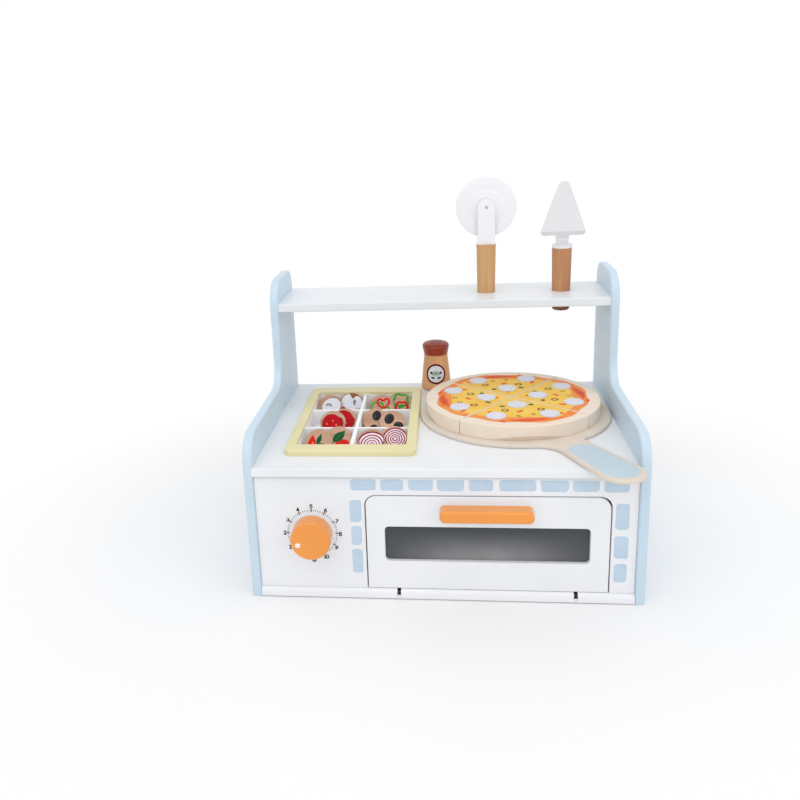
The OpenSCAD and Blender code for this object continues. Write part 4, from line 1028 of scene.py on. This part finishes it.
PRINTED_R = 13.2
HEART = [(0, -6.5), (4.6, -3.2), (6.4, 1.2), (5.0, 4.8), (2.0, 5.2), (0, 3.6), (-2.0, 5.2),
         (-5.0, 4.8), (-6.4, 1.2), (-4.6, -3.2)]
ROUND = [(0, -8.2), (5.2, -6.4), (8.0, -1.4), (6.8, 4.6), (3.4, 7.6), (0, 6.6), (-3.4, 7.8),
         (-7.0, 4.4), (-8.0, -1.6), (-5.2, -6.6)]
WAVY = [(0, -7.6), (4.2, -6.0), (6.6, -5.2), (7.4, -1.6), (6.4, 1.6), (7.4, 4.6), (4.6, 7.6),
        (1.0, 6.8), (-2.4, 8.0), (-6.0, 6.4), (-6.4, 2.8), (-8.0, 0), (-6.8, -4.6), (-3.4, -5.4)]


def on_disc(outline, x=0.0, y=0.0, turn=0.0, grow=1.0, margin=0.0):
    """The outline moved to its place and kept on the disc's printed circle."""
    return clipped(moved(outline, x, y, turn, grow), PRINTED_R - margin)


def hoop(points, scale, thick, x, y, turn=0.0):
    """Closed band that follows a smooth curve: its outer and its inner loop, kept on the disc."""
    outer = moved(through(np.array(points) * scale), x, y, turn)
    return clipped(outer, PRINTED_R), clipped(outer - thick * outward(outer), PRINTED_R - thick / 2)


def onion(x, y, radii):
    """Cut onion: a maroon skin, then rings that alternate between white and maroon."""
    return [(pink_ink if k % 2 else maroon_ink, k,
             on_disc(circle(radius, 96, (x, y)), margin=0.9 if k else 0))
            for k, radius in enumerate(radii)]


def pictures():
    """What is printed on each disc: for every node, rows of (ink, layer, outline), or of
    (ink, layer, outer loop, inner loop) for a band."""
    cap = [(-10.4, -4.5), (-9.8, 3.2), (-6.0, 9.2), (0.4, 11.4), (6.6, 9.6), (10.6, 3.6),
           (11.0, -3.4), (6.2, -6.0), (5.2, -12.0), (-3.6, -12.4), (-4.8, -6.6)]
    tall = [(-11.8, -4.0), (-11.4, 4.4), (-8.6, 9.8), (-4.4, 11.6), (-1.6, 8.4), (0.6, 5.6),
            (3.4, 8.6), (6.0, 9.4), (9.8, 7.4), (12.0, 1.8), (11.8, -5.6), (5.6, -8.0),
            (4.6, -13.0), (-4.6, -13.0), (-5.6, -7.4)]
    broad = cap[:8] + [(5.6, -13.0), (-5.4, -13.0)]
    yield "mushroom_disc_front", [
        (brown_ink, 0, on_disc(through(cap), 2.0, -1.2, -8, 1.08)),
        (white_ink, 1, on_disc(through(cap), 2.0, -1.4, -8, margin=0.5)),
        (olive_ink, 2, band([(-4.0, -0.4), (-1.8, 1.6), (1.0, 0.8), (1.8, -1.2)], 1.3)),
        (brown_ink, 2, band([(-2.0, -1.2), (0.2, -0.6)], 0.9))]
    yield "mushroom_disc_back", [
        (brown_ink, 0, on_disc(through(broad), 0.4, 1.0, -6, 1.22)),
        (white_ink, 1, on_disc(through(tall), 0.4, 0.2, -6, margin=0.7)),
        (olive_ink, 2, band([(3.6, 3.8), (5.0, 1.8), (3.6, -0.6), (4.4, -2.6)], 1.5)),
        (brown_ink, 2, band([(2.2, 2.2), (3.0, 0.2)], 0.9))]
    low_hoop = hoop(ROUND, 0.72, 2.0, 4.6, -7.6)
    yield "pepper_disc_front", [
        (bright_green_ink, 0, *hoop(ROUND, 1.0, 2.2, -4.6, -3.4)), (bright_green_ink, 0, *low_hoop),
        (red_ink, 1, *hoop(HEART, 1.22, 2.3, 1.8, 2.6, 4))]
    yield "pepper_disc_back", [
        (bright_green_ink, 0, *hoop(WAVY, 1.3, 2.8, 1.2, 2.6)), (bright_green_ink, 0, *low_hoop),
        (red_ink, 1, *hoop(ROUND, 0.98, 2.6, 2.4, -5.4))]
    blob = [(-11.4, -4.0), (-10.6, 3.4), (-6.4, 8.8), (0.6, 9.6), (5.2, 7.0), (9.6, 4.4),
            (11.6, -2.4), (9.0, -9.6), (0, -12.6), (-8.6, -10.2)]
    spots = [(-5.4, 4.0), (4.6, 2.2), (1.6, -6.4), (-2.0, -1.8), (7.4, -3.0)]
    seeds = [(-0.2, 1.4), (-6.4, -2.6), (4.0, -3.6)]
    for name, turn, grow in (("salami_disc_front", 0, 1.0), ("salami_disc_back", -28, 1.08)):
        shape = moved(through(blob), 0, 0, turn, grow)
        yield name, [(dark_red_ink, 0, on_disc(shape)),
                     (salami_ink, 1, clipped(shape * 0.92, PRINTED_R - 0.9))] + [
            (dark_red_ink, 2, moved(oval(*p, 1.9, 1.7), turn=turn)) for p in spots] + [
            (yellow_ink, 2, moved(oval(*p, 1.4, 1.6), turn=turn)) for p in seeds]
    yield "olive_disc_front", [
        (black_ink, 0, oval(-3.4, 3.6, 10.4, 13.0, -14)),
        (grey_ink, 1, oval(-3.0, 4.2, 7.4, 9.6, -14)),
        (black_ink, 2, oval(-2.7, 3.9, 6.0, 8.2, -14)),
        (black_ink, 0, on_disc(oval(6.8, -5.2, 11.0, 10.0, -30))),
        (grey_ink, 1, oval(6.2, -3.8, 7.2, 4.6, -30)),
        (black_ink, 2, oval(6.2, -4.6, 6.0, 3.8, -30))]
    yield "olive_disc_back", [
        (black_ink, 0, oval(1.4, 4.6, 9.6, 12.8, -8)), (grey_ink, 1, oval(-0.6, 3.2, 1.4, 7.6, -8)),
        (black_ink, 0, on_disc(oval(-1.4, -10.2, 8.0, 7.0, 16)))]
    wedge = [(-11.4, -4.8), (-10.2, 1.0), (-7.2, 6.2), (-5.4, 4.6), (-3.4, -0.8), (-2.2, -6.6),
             (-7.0, -7.6)]
    yield "tomato_disc_front", [
        (red_ink, 0, through(wedge)), (yellow_ink, 1, oval(-6.0, -2.4, 1.6, 1.9)),
        (green_ink, 0, leaf(-1.6, -4.4, 13.0, 5.0, 74)),
        (green_ink, 0, leaf(-1.2, -4.2, 10.6, 4.8, -14)),
        (red_ink, 0, on_disc(oval(3.6, -9.8, 11.0, 6.6, 8)))]
    yield "tomato_disc_back", [
        (red_ink, 0, on_disc(oval(4.6, -6.6, 14.6, 9.8, 8))),
        (green_ink, 1, leaf(-5.0, -4.6, 17.6, 9.6, 48)),
        (bright_green_ink, 2, band([(-3.2, -2.6), (1.0, 1.8), (4.6, 5.8)], 0.45))]
    yield "onion_disc_front", onion(
        0.6, -4.6, (15.4, 13.6, 11.6, 10.2, 8.4, 7.2, 5.4, 4.4, 2.6, 1.6))
    yield "onion_disc_back", onion(
        1.0, -1.2, (13.2, 11.6, 10.2, 9.0, 7.7, 6.5, 5.2, 4.1, 2.8, 1.7))


def topping(node, shapes):
    """Wooden disc with its round hook patch behind and its picture in front."""
    low, high = span(node)
    lean = math.radians(LEAN)
    front_reach = DISC_R * math.sin(lean) + DISC_T / 2 * math.cos(lean)
    low_reach = DISC_R * math.cos(lean) + DISC_T / 2 * math.sin(lean)
    middle = np.array([(low[0] + high[0]) / 2, low[1] + front_reach, low[2] + low_reach])
    normal = stand("viewer", lean=LEAN)[3]
    body = node.replace("_disc", "")
    behind = DISC_T / 2
    piece(node + "_wood", solid(stand("viewer", middle - behind * normal, LEAN), circle(DISC_R, 72),
                                rounded(DISC_T, DISC_EDGE, DISC_EDGE, 3)),
          body, disc_wood, [node])
    piece(node + "_patch", solid(
        stand("viewer", middle - (behind + PATCH_T) * normal, LEAN), circle(PATCH_R, 48),
        rounded(PATCH_T + PATCH_SINK, PATCH_EDGE, 0, 3)), body, hook_patch)
    face = stand("viewer", middle + behind * normal, LEAN)
    inks = {}
    for material, layer, *loops in shapes:
        shape = (printed if len(loops) == 1 else printed_ring)(face, *loops, layer)
        inks.setdefault(material.name, (material, []))[1].append(shape)
    for count, (material, parts) in enumerate(inks.values()):
        piece(f"{node}_print_{count}", several(parts), body, material)


for node_name, shapes in pictures():
    topping(node_name, shapes)

# ---------------------------------------------------------------- peel

peel_low, peel_high = span("pizza_peel")
PEEL_R, PEEL_TURN, PEEL_INSET = 99.5, -63.0, 1.4      # turn of the handle from straight right
HANDLE_R, HANDLE_REACH, FLARE = 22.0, 200.2, 3.2
NECK_LEFT, NECK_RIGHT = 24.0, 6.0
PEEL_FOOT_EDGE, PEEL_EDGE = 1.6, 1.9
CABINET_INNER = 355                     # width between the side panels
peel_x, peel_y = panel_high[0] + CABINET_INNER - PEEL_INSET - PEEL_R, 149.0
lean_sin, lean_cos = math.sin(math.radians(FLARE)), math.cos(math.radians(FLARE))
handle_mid = HANDLE_REACH - HANDLE_R


def peel_outline():
    """Peel with its handle along +x: the plate's arc, a hollow neck arc each side of the
    handle, whose sides spread by the flare, and the handle's round tip."""
    side = HANDLE_R - handle_mid * lean_sin      # from the plate's middle to the side's line
    necks = []
    for neck in (NECK_LEFT, NECK_RIGHT):
        along = math.sqrt((PEEL_R + neck) ** 2 - (side + neck) ** 2)
        x = along * lean_cos - (side + neck) * lean_sin
        y = along * lean_sin + (side + neck) * lean_cos
        necks.append((x, y, math.degrees(math.atan2(y, x))))
    (left_x, left_y, left_dir), (right_x, right_y, right_dir) = necks
    return np.vstack([
        arc((0, 0), PEEL_R, right_dir, 360 - left_dir, 150),
        arc((left_x, -left_y), NECK_LEFT, 180 - left_dir, 90 - FLARE, 20)[1:],
        arc((handle_mid, 0), HANDLE_R, -90 - FLARE, 90 + FLARE, 36)[1:],
        arc((right_x, right_y), NECK_RIGHT, 270 + FLARE, 180 + right_dir, 20)[1:-1]])


on_peel = level_at(peel_high[2])
piece("peel_board", solid(
    level_at(peel_low[2]), moved(peel_outline(), peel_x, peel_y, PEEL_TURN),
    rounded(peel_high[2] - peel_low[2], PEEL_FOOT_EDGE, PEEL_EDGE, 6)),
    "peel", peel_wood, ["pizza_peel"])

INLAY_R, INLAY_BACK = 17.6, 1.5         # its tip is a smaller circle, a little behind the handle's


def inlay_outline():
    """Painted field of the handle: round at the tip, with sides parallel to the handle's, and
    a slanting hand-cut end towards the plate."""
    tip_x = handle_mid - INLAY_BACK

    def half(x):
        """Half the field's width at a distance along the handle."""
        return (INLAY_R - (tip_x - x) * lean_sin) / lean_cos

    end = through([(130, half(130)), (122, half(122)), (116.5, 13.2), (112.4, 7.5), (111.6, 0),
                   (113, -7), (117.5, -half(117)), (124, -half(124)), (132, -half(132))])
    first, last = 8, 57         # the curve's points from its second knot to the last but one
    return np.vstack([arc((tip_x, 0), INLAY_R, -90 - FLARE, 90 + FLARE, 32), end[first:last]])


piece("peel_inlay", printed(on_peel, moved(inlay_outline(), peel_x, peel_y, PEEL_TURN)), "peel",
      inlay_paint)

# ---------------------------------------------------------------- pizza

PIZZA_R, CUT, SCOOP_W, SCOOP_H, SCOOP_D = 91.0, 1.0, 69.0, 4.2, 3.2
CRUST_EDGE, FOOT_EDGE_R = 1.4, 0.5      # rounding at the top and at the foot
SLICES = {"back": 0, "left": 1, "front": 2, "right": 3}
SLICE_TURN = 96.5
PIZZA_SHIFT = 2         # left of the peel's middle, and as much behind it
pizza_x, pizza_y = peel_x - PIZZA_SHIFT, peel_y + PIZZA_SHIFT
pizza_low, pizza_high = span("pizza_slice_back")
pizza_z, pizza_top = pizza_low[2], pizza_high[2]
PRINT_CLEAR = 1.3       # bare wood beside a cut

SAUCE = [(-44, 78.5), (-37, 77), (-26, 79), (-16.7, 79.5), (-6.6, 77.3), (4, 79.9), (9, 82.5),
         (15, 82), (26, 81), (34.5, 82), (44, 79.3)]            # rims: angle, radius
CHEESE = [(-44, 69.2), (-38, 68.2), (-32, 68), (-20, 67), (-13.7, 64.7), (-6, 63.6), (-1, 64),
          (7, 65), (14.5, 69), (20, 73.5), (26, 76), (32, 74), (38, 71), (44, 70)]


def wedge_region(rim):
    """Slice-shaped region: from near the pizza's middle out to a wavy rim of (angle, radius)."""
    angle = np.linspace(-44, 44, 89)
    at, reach = np.array(rim).T
    radius = np.interp(angle, at, reach)
    even = np.convolve(np.pad(radius, 3, "edge"), np.ones(7) / 7, "valid")
    side = math.asin(PRINT_CLEAR / even[0])
    limit = 45 - math.degrees(side)
    turn = np.radians(np.clip(angle, -limit, limit))
    apex = PRINT_CLEAR * math.sqrt(2)
    return np.vstack([[apex, 0], np.column_stack([even * np.cos(turn), even * np.sin(turn)])])


def slice_wood():
    """A quarter of the pizza with a finger scoop under its crust. Its bottom rows reach
    inwards and up by the scoop's depth and height where the outline crosses the scoop."""
    c = CUT / 2
    start = math.degrees(math.asin(c / PIZZA_R))
    outline = np.vstack([[c * math.sqrt(2), 0], arc((0, 0), PIZZA_R, start - 45, 45 - start, 96)])
    scoop_r = SCOOP_W ** 2 / (8 * SCOOP_H)
    high = SCOOP_H - scoop_r + np.sqrt(np.maximum(scoop_r ** 2 - outline[:, 1] ** 2, 0))
    high = np.where(outline[:, 0] > PIZZA_R / 2, np.maximum(high, 0), 0)
    deep = SCOOP_D * high / SCOOP_H
    top = pizza_top - pizza_z
    rows = [(-FOOT_EDGE_R - deep, 0 * high), (-FOOT_EDGE_R - 0.8 * deep, 0.8 * high),
            (0 * high - FOOT_EDGE_R, high), (0 * high, high + FOOT_EDGE_R)]
    for t in np.radians(np.linspace(0, 90, 6)):
        rows.append((0 * high + CRUST_EDGE * (math.cos(t) - 1),
                     0 * high + top - CRUST_EDGE * (1 - math.sin(t))))
    return outline, np.array([np.column_stack(row) for row in rows])


def turned(shape, name):
    """A slice's shape, turned into its place about the pizza's middle."""
    points, faces = shape
    angle = SLICE_TURN + 90 * SLICES[name]
    flat = moved(points[:, :2], pizza_x, pizza_y, angle)
    return np.column_stack([flat, points[:, 2]]), faces


CHIP = [(-0.5, -0.3), (0.05, -0.5), (0.5, -0.25), (0.42, 0.4), (-0.1, 0.5), (-0.48, 0.25)]


def flake(x, y, length, width, turn):
    """Small uneven chip of colour."""
    corners = np.array(CHIP) * (1 + rng.normal(0, 0.08, (len(CHIP), 2)))
    return moved(through(corners * (length, width), 4), x, y, turn)


def streak(r, a0, a1, width):
    """Lens along a circle about the pizza's middle, pointed at both ends."""
    t = np.linspace(0, 1, 24)
    angle = np.radians(a0 + (a1 - a0) * t)
    half = width / 2 * np.sin(np.pi * t) ** 0.6 * (1 + 0.12 * np.sin(7 * t + r))
    out = np.column_stack([(r + half) * np.cos(angle), (r + half) * np.sin(angle)])
    back = np.column_stack([(r - half) * np.cos(angle), (r - half) * np.sin(angle)])
    return np.vstack([out, back[-2:0:-1]])[::-1]


def hook_ring(x, y, outer, width, start, sweep):
    """Part of a ring, like a cut olive."""
    turn = np.radians(np.linspace(start, start + sweep, 9))
    return band(np.column_stack([x + outer * np.cos(turn), y + outer * np.sin(turn)]), width, 4)


HOOKS = [(60.5, -4, 2.0, 1.0, 150, 250), (57, 10.5, 2.0, 1.0, -40, 270)]
HERBS = [(29.7, -15.5, 5.6, 4.6, 60), (27.8, 14.5, 5.8, 4.6, -50)]
CHIPS = [(45.6, 1.4, 4.4, 3.6, 20), (47.6, -1.8, 4.4, 3.6, 40), (16.7, 1.3, 5.0, 3.4, 40),
         (46.6, -31, 7.2, 4.2, -30), (57, 38.6, 6.4, 4.0, 30), (74.5, -23, 7.0, 3.4, 60)]


def slice_pictures(name):
    """What is printed on a slice, one piece for each ink."""
    top = level_at(pizza_top)
    rings = [ring(42, -15, 3.8, 2.3, 0.03, 40), ring(43.5, 21.5, 3.8, 2.3, 0.03, 40)]
    prints = {
        "sauce": (sauce_ink, [printed(top, wedge_region(SAUCE))]),
        "warm": (warm_ink, [printed(top, streak(73.2, -15, 21, 8.5), 1)]),
        "streak": (streak_ink, [printed(top, streak(73.4, -11, 16, 6.0), 2)]),
        "cheese": (cheese_ink, [printed(top, wedge_region(CHEESE), 1)]),
        "rings": (ring_ink, [printed_ring(top, *loops, 2) for loops in rings]
                  + [printed(top, hook_ring(*hook), 2) for hook in HOOKS]),
        "greens": (herb_ink, [printed(top, flake(*herb), 2) for herb in HERBS]),
        "flakes": (bit_ink, [printed(top, flake(*chip), 2) for chip in CHIPS]),
    }
    for label, (material, shapes) in prints.items():
        piece(f"slice_{name}_{label}", turned(several(shapes), name), "slice_" + name, material)


slice_outline, slice_rows = slice_wood()
for name in SLICES:
    crust = solid(level_at(pizza_z), slice_outline, slice_rows)
    piece(f"slice_{name}_crust", turned(crust, name), "slice_" + name, crust_wood,
          ["pizza_slice_" + name])
    slice_pictures(name)

PAD_R, PAD_T, PAD_FOOT_EDGE, PAD_EDGE = 10.0, 1.6, 0.1, 0.7
PADS = [(27.5, 0.0), (65.0, 24.5), (65.0, -24.5)]       # radius from the middle, angle
for name in SLICES:
    places = [moved([(r, 0)], turn=a)[0] for r, a in PADS]
    pads = [solid(level_at(pizza_top), circle(PAD_R, 64, place),
                  rounded(PAD_T, PAD_FOOT_EDGE, PAD_EDGE, 4)) for place in places]
    piece(f"slice_{name}_pads", turned(several(pads), name), "slice_" + name, loop_tape,
          ["slice_pads_" + name])

# ---------------------------------------------------------------- shaker

shaker_x, shaker_y = middle_of("shaker_body")[:2]
shaker_foot, cap_foot = span("shaker_body")[0][2], span("shaker_cap")[0][2]
FOOT_R, NECK_R, FOOT_EDGE = 17.5, 13.5, 3.0
LABEL_Z, LABEL_R, FIELD_R = 156.8, 11.9, 9.9


def cone_radius(z):
    """The shaker's radius: a straight taper from above its rounded foot to its neck."""
    low = shaker_foot + FOOT_EDGE
    return FOOT_R + (NECK_R - FOOT_R) * (z - low) / (cap_foot - low)


def wrapped(x, z, lift):
    """Flat label coordinates bent round the shaker's front: x becomes an angle."""
    radius = cone_radius(z) + lift
    angle = x / cone_radius(LABEL_Z)
    return np.stack([shaker_x + radius * np.sin(angle), shaker_y - radius * np.cos(angle), z], -1)


def label_band(inner, outer, lift, rings, steps=64):
    """Closed thin band of the label between two radii, on a grid of radius and angle."""
    radius = np.linspace(inner, outer, rings)[:, None]
    angle = np.linspace(0, 2 * np.pi, steps, endpoint=False)[None]
    x, z = radius * np.cos(angle), LABEL_Z + radius * np.sin(angle)
    front, back = wrapped(x, z, lift), wrapped(x, z, -PRINT_SINK)
    return closed_grid(np.concatenate([front, back[::-1]]))


def label_shape(outline, lift, slices=16):
    """Small bulging shape of the label's picture, bent onto the shaker. It is cut into upright
    slices, whose low and high ends are read off the outline's lower and upper edge."""
    loop = np.roll(outline, -outline[:, 0].argmin(), 0)
    far = loop[:, 0].argmax()
    upper = np.vstack([loop[far:], loop[:1]])[::-1]
    t = (1 - np.cos(np.linspace(0, np.pi, slices))) / 2
    x = loop[0, 0] + (loop[far, 0] - loop[0, 0]) * (0.01 + 0.98 * t)
    low = LABEL_Z + np.interp(x, *loop[:far + 1].T)
    high = LABEL_Z + np.interp(x, *upper.T)
    grid = np.stack([wrapped(x, low, lift), wrapped(x, high, lift), wrapped(x, high, 0),
                     wrapped(x, low, 0)])
    index = np.arange(grid.shape[0] * slices).reshape(grid.shape[:2])
    below = np.roll(index, -1, 0)
    quads = np.stack([index[:, :-1], index[:, 1:], below[:, 1:], below[:, :-1]], -1).reshape(-1, 4)
    ends = [tuple(index[:, 0].tolist()), tuple(index[::-1, -1].tolist())]
    return grid.reshape(-1, 3), [tuple(q) for q in quads.tolist()] + ends


RIM_LIFT, FIELD_LIFT, PICTURE_LIFT = 0.14, 0.08, 0.15
RIM_LAP, FIELD_EYE = 0.1, 0.02      # the rim's lap over the field, and the pinhole in its middle
piece("label_rim", label_band(FIELD_R - RIM_LAP, LABEL_R, RIM_LIFT, 4), "shaker", label_rim_ink)
piece("label_field", label_band(FIELD_EYE, FIELD_R, FIELD_LIFT, 12), "shaker", white_ink)
LABEL_PICTURE = {
    "fan": (pale_green_ink, [leaf(0, -1.6, 6.2, 1.7, a) for a in (46, 68, 90, 112, 134)]
            + [band([(0, -3.6), (0, -1.2)], 0.6, 6)]),
    "sprig": (herb_ink, [leaf(-1.2, -5.2, 5.4, 2.4, 164), leaf(1.2, -5.2, 5.4, 2.4, 16)]),
    "berries": (dark_red_ink, [oval(side * 5.4, 1.2, 3.8, 2.5, side * 42, 20) for side in (-1, 1)]
                + [band([(side * 4.0, -0.2), (side * 2.2, -2.2)], 0.6, 6) for side in (-1, 1)]),
}
for name, (material, outlines) in LABEL_PICTURE.items():
    piece("label_" + name, several([label_shape(o, PICTURE_LIFT) for o in outlines]), "shaker",
          material)

# ---------------------------------------------------------------- wheel

wheel_low, wheel_high = span("cutter_wheel")
wheel_x, wheel_y, wheel_z = middle_of("cutter_wheel")
HUB_T, RIM_T, RING_T = 5.2, 2.4, 3.8
AXLE_HOLE = 1.66


def wheel():
    """Turned wheel, alike on both faces: hub, hollow, ring, web and a bevelled rim. Half of the
    section is written from the hole outwards and the other half is its mirror image."""
    r = (wheel_high[2] - wheel_low[2]) / 2
    hub, rim, mound = HUB_T / 2, RIM_T / 2, RING_T / 2
    half = [(AXLE_HOLE, hub), (5.0, hub), (5.5, hub - 0.3), (11.3, hub - 0.3), (12.0, mound),
            (16.9, mound), (17.6, mound - 0.5), (18.4, rim - 0.15), (22.0, rim - 0.15),
            (23.2, rim), (r - 4.4, rim), (r - 0.25, 0.35)]
    rows = np.array(half + [(r, 0.0)] + [(a, -h) for a, h in half[::-1]])
    turn = np.linspace(0, 2 * np.pi, 128, endpoint=False)
    x = wheel_x + rows[:, :1] * np.cos(turn)
    z = wheel_z + rows[:, :1] * np.sin(turn)
    y = wheel_y - np.repeat(rows[:, 1:], len(turn), 1)
    return closed_grid(np.stack([x, y, z], -1))


piece("wheel_turned", wheel(), "cutter_wheel", white_wood, ["cutter_wheel"],
      crease=25)

# ---------------------------------------------------------------- finishes of the CAD nodes

FINISHES = {
    base_white: ["base_board"],
    white_paint: ["back_panel"],
    raw_board: ["door_stops"],
    steel: ["catch_magnet", "side_screws", "back_panel_screws", "hinge_pins", "hinge_pin_plates",
            "pin_plate_screws", "handle_screws", "window_screws", "tongue_screws", "catch_plate",
            "catch_plate_screw", "knob_screw", "knob_washer", "cutter_axle"],
    blackened_steel: ["hinge_tongues"],
    lit_tray_white: ["tray_box"],
    shaker_wood: ["shaker_body"],
    cap_brown: ["shaker_cap"],
    pale_grip: ["cutter_handle"],
    red_grip: ["server_handle"],
    white_wood: ["cutter_fork"],
    shaded_blade_white: ["server_blade"],
}
for finish, nodes in FINISHES.items():
    for node_name in nodes:
        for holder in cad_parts[node_name].material_slots:
            holder.material = finish

# ---------------------------------------------------------------- floor, light, camera


def rays(tree, *kinds):
    """1 for light paths of any of these kinds, else 0."""
    path = add(tree, "LightPath").outputs
    found = path[f"Is {kinds[0]} Ray"]
    for kind in kinds[1:]:
        found = maths(tree, "MAXIMUM", found, path[f"Is {kind} Ray"])
    return found


def stage_floor():
    """Pale floor that takes the shadow near the object and fades to white far from it."""
    half = 8.0          # metres
    mesh = bpy.data.meshes.new("floor")
    mesh.from_pydata([(-half, -half, 0), (half, -half, 0), (half, half, 0), (-half, half, 0)], [],
                     [(0, 1, 2, 3)])
    material, tree, sockets = finish_of("Pale floor", {"Roughness": 0.7, "Specular IOR Level": 0.2})
    place = place_in(tree)
    pale, dark = (0.93, 0.93, 0.935, 1), (0.90, 0.90, 0.905, 1)
    tree.links.new(blended(tree, noise(tree, place, 3), pale, dark), sockets["Base Color"])
    glow = add(tree, "Emission", {"Color": (1, 1, 1, 1)})
    far = add(tree, "VectorMath", {0: place}, operation="LENGTH").outputs["Value"]
    near_edge, far_edge = 0.3, 0.62         # metres from the object's middle
    fade = ramp(tree, far, near_edge, far_edge, curve="SMOOTHSTEP")
    amount = maths(tree, "MULTIPLY", fade, rays(tree, "Camera", "Glossy"))
    mixed = add(tree, "MixShader", {
        0: amount, 1: tree.nodes[SHADER].outputs[0], 2: glow.outputs[0]})
    tree.links.new(mixed.outputs[0], tree.nodes["Material Output"].inputs["Surface"])
    mesh.materials.append(material)
    floor = bpy.data.objects.new("floor", mesh)
    bpy.context.scene.collection.objects.link(floor)


def stage_world(strength):
    """Even white surroundings: full white to the camera, a plain level as light."""
    world = bpy.data.worlds.new("Soft studio")
    bpy.context.scene.world = world
    world.use_nodes = True
    tree = world.node_tree
    background = tree.nodes["Background"].inputs
    level = ramp(tree, rays(tree, "Camera", "Glossy", "Transmission"), 0, 1, strength, 1)
    tree.links.new(level, background["Strength"])
    background["Color"].default_value = (1, 1, 1, 1)


def lamp(name, place, watts, size=1.4, target=(0, 0, 0.15)):
    """Square soft lamp at a place in metres, facing a target."""
    light = bpy.data.lights.new(name, "AREA")
    light.size, light.energy = size, watts
    holder = bpy.data.objects.new(name, light)
    aim = Vector(target) - Vector(place)
    turn = aim.to_track_quat("-Z", "Y").to_matrix().to_4x4()
    holder.matrix_world = Matrix.Translation(place) @ turn
    bpy.context.scene.collection.objects.link(holder)


def photo_camera():
    """Camera fitted to the photograph: its place in the cabinet's millimetres, its axes, and
    the focal length and centre in pixels of the square frame."""
    place = np.array([9.362, -719.605 + FRONT, 448.342]) / METRE
    right = np.array([0.99141, 0.12140, -0.04867])
    down = np.array([-0.01273, -0.28080, -0.95968])
    forward = np.array([-0.13017, 0.95206, -0.27684])
    focal, centre, pixels, sensor = 843.338, (339.171, 362.845), 800, 36
    data = bpy.data.cameras.new("Photo camera")
    data.sensor_width = sensor
    data.lens = focal / pixels * sensor
    data.shift_x = (pixels / 2 - centre[0]) / pixels
    data.shift_y = (centre[1] - pixels / 2) / pixels
    data.clip_start, data.clip_end = 0.01, 50
    holder = bpy.data.objects.new("Photo camera", data)
    holder.matrix_world = Matrix([[*row, p] for row, p in zip(
        np.column_stack([right, -down, -forward]).tolist(), place.tolist())] + [[0, 0, 0, 1]])
    bpy.context.scene.collection.objects.link(holder)
    bpy.context.scene.camera = holder


stage_floor()
stage_world(0.85)
lamp("Key", (-0.6, -1.2, 1.6), 4.9)
lamp("Fill", (1.2, -0.9, 0.9), 2.9)
lamp("Top", (0.1, -0.3, 1.9), 4.2)
photo_camera()
bpy.context.scene.view_settings.view_transform = "Standard"
